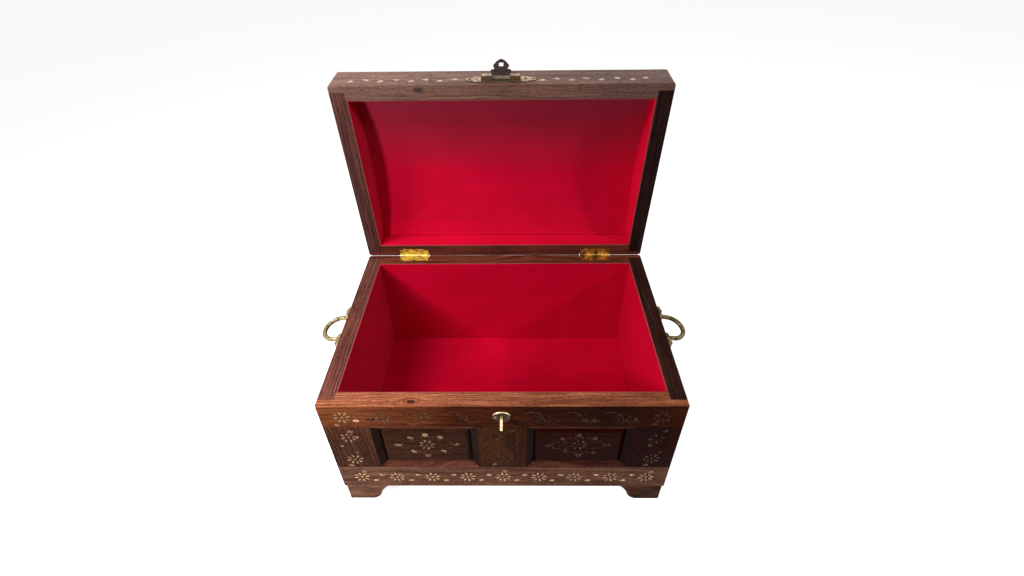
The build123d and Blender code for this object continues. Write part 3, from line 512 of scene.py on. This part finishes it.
def painted_shade_sheen_left(t):
    """The left walls of both cavities get a share of 0.25 of darker, greyer red all over, as painted shade
    and sheen.
    """
    return np.full_like(t, 0.25)


body_cloth = flocked_cloth("crimson_flocked_cloth", ALONG_X, 0.06, "#C2002A", "#CE0231")
for name, axis, side, bare_edge, bead, painted_light in (
    ("front_lining", 1, 1, -1, 0.0, np.zeros_like),
    ("back_lining", 1, 0, -1, 0.0, np.zeros_like),
    ("left_lining", 0, 1, -1, 0.0, painted_shade_sheen_left),
    ("right_lining", 0, 0, -1, 0.0, np.zeros_like),
    ("floor_lining", 2, 1, None, BEAD, np.zeros_like),
):
    face, size = flat_face(name, axis, side)
    sheet = lining_sheet(f"{name}_cloth", name, face, size, body_cloth, bare_edge, bead, painted_light)
    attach(sheet, "chest")


# ---- Cloth lining of the lid ----
# A sheet bent to the vault, two arched ends and two strips along the rails, all of the same cloth and card.
# The lid's copy of the cloth is painted a little brighter than the body's, as painted light, and darker and
# greyer towards the front, as painted shade and sheen.
WALL, BACK_WALL, SETBACK, END_PLAY = 0.014, 0.0135, 0.0004, 0.0001
LID_DEPTH, SPRING, VAULT_RISE = 0.2015, 0.019, 0.0148
cavity_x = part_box("lid_vault_lining")[1].x
lid_low = lid_rim + SETBACK
wall_low, wall_high = front + WALL, front + LID_DEPTH - BACK_WALL
half_span = (wall_high - wall_low) / 2
vault_radius = (half_span**2 + VAULT_RISE**2) / (2 * VAULT_RISE)
vault_centre = ((wall_low + wall_high) / 2, lid_rim + SPRING + VAULT_RISE - vault_radius)
seen_radius = vault_radius - CARD
half_angle = math.asin((half_span - CARD) / seen_radius)
strip_top = vault_centre[1] + seen_radius * math.cos(half_angle)
# Brighter colours than the body's cloth, as painted light
lid_cloth = flocked_cloth("crimson_flocked_lid_cloth", LID_ALONG_X, 0.1, "#CA002C", "#D60233")


def turned_out(x, y, z, out):
    """Closed-lid points and outward directions, both turned open with the lid."""
    points = np.stack(np.broadcast_arrays(x, y, z), -1)
    out = np.stack(np.broadcast_arrays(*out, x)[:3], -1)
    return opened(points), opened(points + out) - opened(points)


def vault_face(s, t):
    """The bent sheet: at angle p from the crown, y = centre + r sin p and z = centre + r cos p."""
    p = (2 * t - 1) * half_angle
    x = (2 * s - 1) * cavity_x
    y, z = vault_centre[0] + seen_radius * np.sin(p), vault_centre[1] + seen_radius * np.cos(p)
    return turned_out(x, y, z, (0, -np.sin(p), -np.cos(p)))


def end_face(sign):
    """An arched end: z runs from the rim to the vault above it, z = centre + sqrt(r ** 2 - y ** 2)."""

    def face(s, t):
        y = (2 * s - 1) * (half_span - END_PLAY)
        top = vault_centre[1] + np.sqrt(seen_radius**2 - y**2)
        z = lid_low + t * (top - lid_low)
        return turned_out(sign * (cavity_x - CARD), vault_centre[0] + y, z, (-sign, 0, 0))

    return face


def strip_face(y, sign):
    """A flat strip at y, from the rim up to the bent sheet."""

    def face(s, t):
        x = (2 * s - 1) * (cavity_x - CARD)
        return turned_out(x, y, lid_low + t * (strip_top - lid_low), (0, sign, 0))

    return face


def painted_shade_sheen_front(t):
    """Painted shade and sheen towards the lid's front edge, high on the open lid under its front rail: 0.76
    at t = 0, falling off to 0 at 0.56.
    """
    return 0.76 * np.clip(1 - t / 0.56, 0, 1)


vault_size = (2 * cavity_x, 2 * half_angle * seen_radius)
end_size = (2 * half_span, vault_centre[1] + seen_radius - lid_low)
strip_size = (2 * (cavity_x - CARD), strip_top - lid_low)
for name, face, size, bare_edge, painted_light in (
    ("vault", vault_face, vault_size, None, painted_shade_sheen_front),
    ("left", end_face(-1), end_size, 0, painted_shade_sheen_left),
    ("right", end_face(1), end_size, 0, np.zeros_like),
    ("front", strip_face(wall_low + CARD, 1), strip_size, 0, np.zeros_like),
    ("back", strip_face(wall_high - CARD, -1), strip_size, 0, np.zeros_like),
):
    node = f"lid_{name}_lining"
    sheet = lining_sheet(f"lid_{name}_cloth", node, face, size, lid_cloth, bare_edge, painted_light=painted_light)
    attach(sheet, "lid")


# ---- Brass inlay on the front ----
# Sheet brass let into sawn and chiselled beds and filed flush: flowers of eight petals round a dot,
# loose leaves between them, and hair-thin wire scrolls. Some of it has gone dull.
PETALS, RING = 8, 14
PROUD, BED_PLAY, LEAF_TAPER, LEAF_SHOULDER = 0.00006, 0.0005, 0.35, 0.8
# A flower's petals and dot as shares of its size, and its turn in radians
PETAL_OUT, PETAL_LENGTH, PETAL_WIDTH, DOT, FLOWER_TURN = 0.36, 0.29, 0.125, 0.16, 0.2
FLOWER, WIRE, SCROLL_STEPS = 0.0146, 0.00032, 24
ROW_PITCH, LOW_ROW, HIGH_ROW, HALF_SCROLL = 0.0334, 0.0162, 0.1095, 0.0155


def chips(places, turns, lengths, widths, dull, height=PROUD):
    """Leaf-shaped chips, all at once. Outline at angle t: x = L / 2 cos t, y = W / 2 sin t (1 + 0.35 cos t).
    At radius k of 1, 0.8 and 0 it stands height (1.25 - k ** 2) out. Returns points in the plane, faces and
    dullness."""
    t = np.arange(RING) * 2 * math.pi / RING
    k = np.array((1.0, LEAF_SHOULDER, 0.0))[:, None]
    x = k * np.cos(t) / 2
    y = k * np.sin(t) * (1 + LEAF_TAPER * np.cos(t)) / 2
    z = np.broadcast_to(height * (1 - k**2) + height / 4, x.shape)
    x, y = x[None] * lengths[:, None, None], y[None] * widths[:, None, None]
    c, s = np.cos(turns)[:, None, None], np.sin(turns)[:, None, None]
    px = places[:, 0, None, None] + x * c - y * s
    py = places[:, 1, None, None] + x * s + y * c
    points = np.stack([px, py, np.broadcast_to(z, px.shape)], -1).reshape(-1, 3)
    j = np.arange(RING)
    n = (j + 1) % RING
    rows = np.arange(2)[:, None] * RING
    quads = np.stack([rows + j, rows + n, rows + RING + n, rows + RING + j], -1).reshape(-1, 4)
    faces = (np.arange(len(places))[:, None, None] * 3 * RING + quads).reshape(-1, 4)
    return points, faces, np.repeat(dull, 3 * RING)


def beds(places, turns, lengths, widths, dull):
    """The dark lac that fills the sawn bed round each chip, 0.5 mm wider and longer than the chip."""
    return chips(places, turns, lengths + BED_PLAY, widths + BED_PLAY, np.ones(len(places)), PROUD / 4)


def flower(centres, dull):
    """Places, turns, lengths, widths and dullness of the petals and dots of several flowers."""
    angle = np.arange(PETALS) * 2 * math.pi / PETALS + FLOWER_TURN
    ring = np.stack([np.cos(angle), np.sin(angle)], -1) * PETAL_OUT * FLOWER
    places = (centres[:, None] + ring).reshape(-1, 2)
    turns = np.tile(angle, len(centres))
    dots = np.full(len(centres), DOT * FLOWER)
    return (
        np.concatenate([places, centres]),
        np.concatenate([turns, np.zeros(len(centres))]),
        np.concatenate([np.full(len(places), PETAL_LENGTH * FLOWER), dots]),
        np.concatenate([np.full(len(places), PETAL_WIDTH * FLOWER), dots]),
        np.concatenate([np.repeat(dull, PETALS), dull]),
    )


def laid_out(leaves, dull):
    """The same for loose leaves, each given by x, height, length and width in mm and a turn in degrees."""
    x, height, turn, length, width = np.array(leaves).T[:5]
    return np.stack([x, height], -1) / 1000, np.radians(turn), length / 1000, width / 1000, dull


def scroll(start, end, lift):
    """A hair-thin scroll, bowed by lift: p = start + (end - start) t + n lift sin(2 pi t)."""
    t = np.linspace(0, 1, SCROLL_STEPS)[:, None]
    start, end = np.array(start), np.array(end)
    way = end - start
    normal = np.array((-way[1], way[0])) / np.hypot(*way)
    return start + way * t + normal * lift * np.sin(2 * math.pi * t)


def wires(curves, dull):
    """Flat ribbons of wire along each curve: p(t) +- width / 2 n(t), n square to the curve."""
    points, faces = [], []
    for curve in curves:
        step = np.gradient(curve, axis=0)
        normal = np.stack([-step[:, 1], step[:, 0]], -1)
        normal /= np.linalg.norm(normal, axis=1, keepdims=True)
        pair = np.stack([curve - normal * WIRE / 2, curve + normal * WIRE / 2], 1).reshape(-1, 2)
        i = sum(map(len, points)) + 2 * np.arange(len(curve) - 1)
        faces.append(np.stack([i, i + 2, i + 3, i + 1], -1))
        points.append(np.concatenate([pair, np.full((len(pair), 1), PROUD / 2)], 1))
    points = np.concatenate(points)
    return points, np.concatenate(faces), np.full(len(points), dull)


def inlay(name, parts, to_world, material):
    """One mesh of several (points, faces, dullness) sets, its plane points laid on the wood by to_world."""
    points, faces, shades = [], [], []
    for part_points, part_faces, part_shades in parts:
        faces.append(part_faces + sum(map(len, points)))
        points.append(part_points)
        shades.append(part_shades)
    piece = new_piece(name, to_world(np.concatenate(points)), np.concatenate(faces), material)
    shades = np.concatenate(shades).astype(np.float32)
    piece.data.attributes.new("dull", "FLOAT", "POINT").data.foreach_set("value", shades)
    return piece


def inlaid_brass(name, clean):
    """Filed sheet brass, with spots of 2.9 mm, 350 to the metre, and file marks of 0.4 mm, 2500 to the metre
    and drawn coarser than they are, to show. The piece's own dullness sets its tarnish."""
    material, tree = blank(name)
    place = add(tree, "TexCoord").outputs["Object"]
    dull = add(tree, "Attribute", attribute_name="dull").outputs["Fac"]
    spots = add(tree, "TexNoise", {"Vector": place, "Scale": 350.0, "Detail": 2.0}).outputs[0]
    span = {"Value": spots, "From Min": 0.35, "From Max": 0.65, "To Min": -0.15, "To Max": 0.25}
    spots = add(tree, "MapRange", span).outputs[0]
    stain = add(tree, "Math", {0: dull, 1: spots}, operation="ADD", use_clamp=True).outputs[0]
    stops = [(0.0, linear(clean)), (1.0, linear("#24120A")), (0.5, linear("#7C5A40"))]
    colour = add(tree, "ValToRGB", {0: stain}, stops=stops).outputs[0]
    marks = add(tree, "TexNoise", {"Vector": place, "Scale": 2500.0, "Detail": 1.0}).outputs[0]
    rough = add(tree, "MapRange", {"Value": marks, "To Min": 0.3, "To Max": 0.6}).outputs[0]
    metal = add(tree, "MapRange", {"Value": stain, "To Min": 1.0, "To Max": 0.0}).outputs[0]
    finish = {"Base Color": colour, "Roughness": rough, "Metallic": metal, "Specular IOR Level": 0.01}
    shader = add(tree, "BsdfPrincipled", finish)
    add(tree, "OutputMaterial", {"Surface": shader.outputs[0]})
    return material


body_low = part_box("front_bottom_rail")[0].z


def on_front(points, depth=0.0):
    """A point (x, height above the body's lower edge, thickness) on the front, depth behind its face."""
    return np.stack([points[:, 0], front - points[:, 2] + depth, body_low + points[:, 1]], -1)


brass_inlay = inlaid_brass("filed_brass_inlay", "#B8946E")
low_x = np.arange(-4, 5) * ROW_PITCH
high_x = np.delete(low_x, 4)
low_row = np.stack([low_x, np.full(9, LOW_ROW)], -1)
high_row = np.stack([high_x, np.full(8, HIGH_ROW)], -1)
stile_flowers = [(-0.1335, 0.0805), (-0.1342, 0.0463), (0.1335, 0.0790), (0.1340, 0.0478)]
stile_flowers += [(-0.001, 0.0825), (0.0011, 0.048)]
low_dull = np.linspace(0.05, 0.25, 9)
high_dull = (0.3, 0.65, 0.7, 0.85, 0.95, 0.92, 0.88, 0.8)
stile_dull = (0.4, 0.3, 0.85, 0.7, 0.88, 0.88)
centres = np.concatenate([low_row, high_row, np.array(stile_flowers)])
flowers = flower(centres, np.concatenate([low_dull, high_dull, stile_dull]))
# x and height in mm, turn in degrees, length, width, dullness
loose = [(x * 1000 - 13.2, 20, 175, 5.6, 2.6, 0.1) for x in low_x[1:]]
loose += [(x * 1000 + 12.4, 10.6, 10, 5.4, 3.2, 0.12) for x in low_x[:-1]]
loose += [
    (-129.5, 25.5, 170, 5.2, 4.0, 0.3), (1.5, 26, 100, 4.6, 3.8, 0.3), (137.0, 25, 20, 5.0, 3.6, 0.35),
    (-122.8, 105, 0, 5.6, 3.4, 0.05), (-139.8, 99, 160, 4.6, 2.4, 0.35), (-110.5, 106.5, 0, 6.0, 3.6, 0.85),
    (110.4, 106.8, 10, 5.6, 3.4, 0.8), (129.0, 99.7, 0, 5.0, 3.0, 0.75), (77.0, 106, 10, 5.4, 3.2, 0.85),
    (-130.7, 89.2, 20, 5.4, 3.8, 0.4), (-126.5, 81, -20, 4.2, 3.4, 0.45), (-139.4, 36.4, 165, 5.6, 3.2, 0.3),
    (-142.0, 67.5, 160, 5.0, 3.4, 0.6), (-130.5, 57, 20, 5.4, 3.2, 0.65), (139.2, 90.1, 10, 5.0, 3.4, 0.72),
    (129.9, 69.1, 170, 5.2, 3.6, 0.75), (139.7, 58, 60, 4.6, 3.2, 0.78), (130.1, 37.4, 20, 5.0, 3.4, 0.65),
    (-7.6, 38.2, 15, 5.2, 3.4, 0.6), (8.0, 91, 20, 5.0, 3.2, 0.8),
]
leaves = laid_out(loose, np.array(loose)[:, 5])
scrolls = [scroll((x - HALF_SCROLL, 0.0212), (x + HALF_SCROLL, 0.0102), 0.0052) for x in low_x[1:-1]]
scrolls += [scroll((x - HALF_SCROLL, 0.1140), (x + HALF_SCROLL, 0.1050), 0.0050) for x in high_x[1:-1]]
front_parts = [chips(*flowers), beds(*flowers), chips(*leaves), beds(*leaves), wires(scrolls, 0.62)]
front_inlay = inlay("front_frame_inlay", front_parts, on_front, brass_inlay)
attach(front_inlay, "chest")


# ---- Brass inlay on the panel fields ----
# Each raised field has one flower, eight leaves in an oval round it and a pair of wire scrolls from each
# leaf, cut from the same sheet brass and filed flush in the same way.
FIELD = 0.0012
# How far the scrolls start past their leaf and where they end, along the way from flower to leaf and beside
# it, as shares of that way, and their lift
PAST_LEAF, FORK, FORK_HALF, FORK_LIFT = 0.12, 0.62, 0.16, 0.0022
panel_leaves = {
    "left": (
        (-0.067, 0.0675),
        [
            (-67.2, 82.3, 90, 5.4, 5.0), (-80.4, 78.2, 325, 6.4, 4.2), (-54.4, 79.4, 330, 6.6, 3.8),
            (-92.4, 67.3, 180, 7.2, 3.8), (-40.9, 67.8, 25, 6.0, 3.0), (-79.6, 57.5, 325, 6.6, 3.8),
            (-52.8, 57.9, 335, 5.4, 4.2), (-67.3, 50.7, 170, 5.6, 4.2),
        ],
        0.45,
    ),
    "right": (
        (0.0678, 0.0671),
        [
            (66.5, 82.3, 90, 4.6, 4.2), (53.0, 76.6, 325, 5.6, 3.8), (80.8, 77.4, 335, 5.4, 4.0),
            (40.7, 66.9, 180, 5.6, 3.2), (92.2, 67.4, 5, 7.0, 3.2), (55.8, 57.2, 325, 5.4, 3.2),
            (81.4, 55.9, 15, 5.6, 3.6), (67.9, 50.8, 90, 5.0, 4.6),
        ],
        0.78,
    ),
}
for side, (centre, ring, dull) in panel_leaves.items():
    centre = np.array(centre)
    flowers = flower(centre[None], np.array((dull,)))
    leaves = laid_out(ring, np.full(len(ring), dull))
    scrolls = []
    for place in leaves[0]:
        way = place - centre
        turned = np.array((-way[1], way[0]))
        middle = centre + FORK * way
        for sign in (1, -1):
            end = middle + sign * FORK_HALF * turned
            scrolls.append(scroll(place + PAST_LEAF * way, end, sign * FORK_LIFT))
    parts = [chips(*flowers), beds(*flowers), chips(*leaves), beds(*leaves), wires(scrolls, 0.6)]
    panel_inlay = inlay(f"{side}_panel_inlay", parts, lambda points: on_front(points, FIELD), brass_inlay)
    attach(panel_inlay, "chest")


# ---- Brass inlay on the lid's front ----
# A single row of leaves, set high and low in turn, on each side of the hasp, with a wire from each to the
# next. It is cut and let in as on the body, and painted paler and greyer as a painted sheen.
LID_LEAF, LID_LEAF_WIDTH, LID_LEAF_TURN = 0.0058, 0.0036, 0.35
LID_LOW_LEAF, LID_HIGH_LEAF, LONGEST_GAP, WIRE_LIFT = 0.0094, 0.0126, 0.02, 0.0016
lid_x = [-135, -121.4, -108.2, -94.4, -80.6, -67.7, -55, -41.5, 36.8, 49.7, 63.2, 76, 89.4, 103.6, 117, 129]
count = len(lid_x)
lid_z = rim - body_low + np.tile((LID_LOW_LEAF, LID_HIGH_LEAF), count // 2)
lid_places = np.stack([np.array(lid_x) / 1000, lid_z], -1)
lid_turns = np.tile((LID_LEAF_TURN, -LID_LEAF_TURN), count // 2)
lid_sizes = np.full(count, LID_LEAF), np.full(count, LID_LEAF_WIDTH)
lid_leaves = chips(lid_places, lid_turns, *lid_sizes, np.zeros(count))
pairs = zip(lid_places[:-1], lid_places[1:])
lid_scrolls = [scroll(a, b, WIRE_LIFT) for a, b in pairs if b[0] - a[0] < LONGEST_GAP]
lid_inlay = inlay(
    "lid_front_inlay",
    [lid_leaves, wires(lid_scrolls, 0.6)],
    lambda points: opened(on_front(points)),
    # Pale greyish brass, as painted sheen
    inlaid_brass("painted_sheen_brass_inlay", "#C4AE97"),
)
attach(lid_inlay, "lid")


# ---- Hinges ----
# Pressed brass butt hinges, polished and lacquered, so they stay bright, with rolled knuckles.
# Each leaf is nailed to its rim, with the nails' heads flush.
def brass(name, clean, stained, stain_share, rough, bump_mm, dull="#2A2014", painted_light=None):
    """Brass with stains of 4 mm and finer, 250 to the metre, and a cast or rolled skin of 0.8 mm, 1250 to the
    metre, in its bump. A last mask, if given, keeps the metal's colour as painted light where it is 1 and
    turns it to the dull colour, painted shade, where it is 0."""
    material, tree = blank(name)
    coordinates = add(tree, "TexCoord").outputs
    place = coordinates["Object"]
    blots = {"Vector": place, "Scale": 250.0, "Detail": 4.0, "Roughness": 0.65}
    blots = add(tree, "TexNoise", blots).outputs[0]
    least = 0.5 * stain_share
    span = {"Value": blots, "From Min": 0.62 - least, "From Max": 0.82 - least}
    stain = add(tree, "MapRange", span).outputs[0]
    shaded = {"Factor": stain, 6: linear(clean), 7: linear(stained)}
    colour = add(tree, "Mix", shaded, data_type="RGBA").outputs[2]
    if painted_light:
        painted_lit_share = painted_light(tree, place, coordinates["Normal"])
        shaded = {"Factor": painted_lit_share, 6: linear(dull), 7: colour}
        colour = add(tree, "Mix", shaded, data_type="RGBA").outputs[2]
    gloss = {"Value": stain, "To Min": rough, "To Max": min(1, rough + 0.25)}
    gloss = add(tree, "MapRange", gloss).outputs[0]
    skin = add(tree, "TexNoise", {"Vector": place, "Scale": 1250.0, "Detail": 2.0}).outputs[0]
    bump = add(tree, "Bump", {"Height": skin, "Strength": 0.4, "Distance": bump_mm / 1000}).outputs[0]
    finish = {"Base Color": colour, "Roughness": gloss, "Metallic": 1.0, "Normal": bump}
    shader = add(tree, "BsdfPrincipled", finish)
    add(tree, "OutputMaterial", {"Surface": shader.outputs[0]})
    return material


hinge_brass = {
    "left": brass("pale_rolled_brass", "#D8BC6C", "#5C431C", 0.35, 0.36, 0.1),
    "right": brass("brown_rolled_brass", "#DCAC5C", "#5C3818", 0.45, 0.36, 0.1),
}
for side in ("left", "right"):
    for part in ("body_leaf", "lid_leaf", "pin"):
        nodes[f"{side}_hinge_{part}"].material_slots[0].material = hinge_brass[side]
nail_brass = brass("dull_brass_nails", "#8A6E38", "#3A2A14", 0.5, 0.45, 0.05)
for name in ("hinge_body_nails", "hinge_lid_nails", "hasp_nails", "staple_nails"):
    nodes[name].material_slots[0].material = nail_brass


# ---- Hasp and staple ----
# A cast base kept pale on its outward faces, up with the lid open, and dull elsewhere, as painted light and
# shade; a flap painted dark as painted shade, its knuckle left clean; and a staple painted dark as painted
# shade except for a painted highlight on its tongue and upper edge.
outward = Vector((opened(np.array((0.0, -1.0, 0.0))) - opened(np.zeros(3))).tolist())
pin_place = sum(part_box("hasp_pin"), Vector()) / 2


def outward_faces(tree, place, normal):
    """1 where the surface points out of the lid's front, normal . outward from 0.55 to 0.85."""
    lean = add(tree, "VectorMath", {0: normal, 1: outward}, operation="DOT_PRODUCT").outputs["Value"]
    return add(tree, "MapRange", {"Value": lean, "From Min": 0.55, "From Max": 0.85}).outputs[0]


def near_pin(tree, place, normal):
    """1 on the knuckle, within 1.9 mm of the pin's line, 0 beyond 2.3 mm."""
    out = add(tree, "VectorMath", {0: place, 1: pin_place}, operation="SUBTRACT").outputs[0]
    out = add(tree, "VectorMath", {0: out, 1: (0, 1, 1)}, operation="MULTIPLY").outputs[0]
    out = add(tree, "VectorMath", {0: out}, operation="LENGTH").outputs["Value"]
    limits = {"Value": out, "From Min": 0.0019, "From Max": 0.0023, "To Min": 1.0, "To Max": 0.0}
    return add(tree, "MapRange", limits).outputs[0]


def tongue_and_upper_edge(tree, place, normal):
    """1 on the tongue, over 1.3 mm out of the front, and on the plate's edge where it points up: the staple's
    painted highlight.
    """
    at = add(tree, "SeparateXYZ", {0: place}).outputs["Y"]
    limits = {"Value": at, "From Min": front - 0.0012, "From Max": front - 0.0014}
    out = add(tree, "MapRange", limits).outputs[0]
    up = add(tree, "SeparateXYZ", {0: normal}).outputs["Z"]
    up = add(tree, "MapRange", {"Value": up, "From Min": 0.25, "From Max": 0.5}).outputs[0]
    return add(tree, "Math", {0: out, 1: up}, operation="MAXIMUM").outputs[0]


# The base's outward faces keep clean brass as painted light; its other faces turn dull as painted shade
base_brass = brass("cast_brass_base", "#BEA892", "#806C58", 0.4, 0.4, 0.15, "#50412F", outward_faces)
nodes["hasp_base"].material_slots[0].material = base_brass
nodes["hasp_pin"].material_slots[0].material = base_brass
# The flap is painted near black, as painted shade, all but its knuckle
nodes["hasp_flap"].material_slots[0].material = brass(
    "painted_shade_flap_brass", "#6E6458", "#463C34", 0.4, 0.42, 0.12, "#2C1C15", near_pin
)
# The staple's plate is painted dark as painted shade, with a painted highlight on its tongue and upper edge
nodes["staple"].material_slots[0].material = brass(
    "cast_staple_painted_light", "#F2DEAE", "#B89C68", 0.2, 0.38, 0.1, "#2C190A", tongue_and_upper_edge
)


# ---- Side pulls ----
# Sand-cast brass pulls gone olive with handling, the right one darker.
# Each is held to its side by two domed nails.
for name, finish, *values in (
    ("left_pull", "olive_cast_brass", "#A89A74", "#6E6244", 0.45, 0.45, 0.2),
    ("right_pull", "bronzed_cast_brass", "#8A7A50", "#4E4228", 0.5, 0.45, 0.2),
    ("pull_nails", "worn_brass_nails", "#5E5038", "#2C2212", 0.6, 0.45, 0.1),
):
    nodes[name].material_slots[0].material = brass(finish, *values)


# ---- Floor ----
# A plain pale sweep of matt paper that keeps the chest's shadow.
# The camera and the metal see it nearly white, and its light on the chest is that of grey paper.
FLOOR_HALF = 6


def seen_directly(tree):
    """1 for the camera, in a mirror and through glass, 0 for light that falls on the chest."""
    ray = add(tree, "LightPath").outputs
    seen = {0: ray["Is Camera Ray"], 1: ray["Is Glossy Ray"]}
    seen = add(tree, "Math", seen, operation="MAXIMUM").outputs[0]
    seen = {0: seen, 1: ray["Is Transmission Ray"]}
    return add(tree, "Math", seen, operation="MAXIMUM").outputs[0]


paper, tree = blank("white_paper")
grey = add(tree, "BsdfDiffuse", {"Color": linear("#A8A8A8")}).outputs[0]
white = add(tree, "BsdfDiffuse", {"Color": linear("#F4F4F4")}).outputs[0]
glow = add(tree, "Emission", {"Color": (1, 1, 1, 1), "Strength": 0.9}).outputs[0]
both = add(tree, "AddShader", {0: white, 1: glow}).outputs[0]
mixed = add(tree, "MixShader", {0: seen_directly(tree), 1: grey, 2: both}).outputs[0]
add(tree, "OutputMaterial", {"Surface": mixed})
floor_corners = np.array([(-1, -1, 0), (1, -1, 0), (1, 1, 0), (-1, 1, 0)]) * FLOOR_HALF
floor = new_piece("studio_floor", floor_corners, np.array([(0, 1, 2, 3)]), paper)


# ---- Light ----
# Soft boxes close to the chest on the left, a strong one far off on the right and one behind, all facing the
# middle of the chest, and a faint room light.
LAMP_AIM = Vector((0, 0, 0.12))
world = bpy.data.worlds.new("room")
bpy.context.scene.world = world
world.use_nodes = True
world.node_tree.nodes.clear()
level = {"Value": seen_directly(world.node_tree), "To Min": 0.04, "To Max": 1.0}
level = add(world.node_tree, "MapRange", level).outputs[0]
air = add(world.node_tree, "Background", {"Color": (1, 1, 1, 1), "Strength": level})
add(world.node_tree, "OutputWorld", {"Surface": air.outputs[0]})
for name, place, size, watts in (
    ("left_front_box", (-0.3015, -0.3, 0.35), 0.06, 1.2),
    ("left_top_box", (-0.25, 0, 0.5), 0.1, 0.6),
    ("left_high_box", (-0.4385, -0.15, 0.75), 0.12, 1.72),
    ("right_box", (1.1735, -0.5, 1.05), 0.1, 5.85),
    ("back_box", (-0.15, 0.25, 0.9), 0.15, 1.15),
):
    data = bpy.data.lights.new(name, "AREA")
    data.size, data.energy = size, watts
    lamp = bpy.data.objects.new(name, data)
    lamp.location = place
    lamp.rotation_euler = (LAMP_AIM - Vector(place)).to_track_quat("-Z", "Y").to_euler()
    lamp.visible_camera = False
    bpy.context.scene.collection.objects.link(lamp)


# ---- Camera ----
# It stands in front of the chest, a little above the open lid, and looks down 36 degrees.
# Its place is measured from the middle of the front's upper edge.
PITCH, YAW, ROLL = math.radians(36.32), math.radians(0.88), math.radians(-0.78)
FOCAL_PX, CENTRE_X, CENTRE_Y = 506.81, 507.92, 242.13
WIDTH_PX, HEIGHT_PX, SENSOR = 1024, 576, 36.0
TO_RIGHT, IN_FRONT, ABOVE_RIM = 0.01118, 0.25356, 0.3533
forward = Vector((0, math.cos(PITCH), -math.sin(PITCH)))
upward = Vector((0, math.sin(PITCH), math.cos(PITCH)))
rightward = Vector((1, 0, 0))
yaw = Matrix.Rotation(YAW, 3, "Z")
forward, upward, rightward = yaw @ forward, yaw @ upward, yaw @ rightward
across = math.cos(ROLL) * rightward + math.sin(ROLL) * upward
above = -math.sin(ROLL) * rightward + math.cos(ROLL) * upward
camera = bpy.data.objects.new("camera", bpy.data.cameras.new("camera"))
camera.data.sensor_width = SENSOR
camera.data.lens = FOCAL_PX / WIDTH_PX * SENSOR
camera.data.shift_x = (WIDTH_PX / 2 - CENTRE_X) / WIDTH_PX
camera.data.shift_y = (CENTRE_Y - HEIGHT_PX / 2) / WIDTH_PX
turned = Matrix((across, above, -forward)).transposed().to_4x4()
turned.translation = Vector((TO_RIGHT, front - IN_FRONT, rim + ABOVE_RIM))
camera.matrix_world = turned
bpy.context.scene.collection.objects.link(camera)
bpy.context.scene.camera = camera

bpy.context.scene.view_settings.view_transform = "Standard"
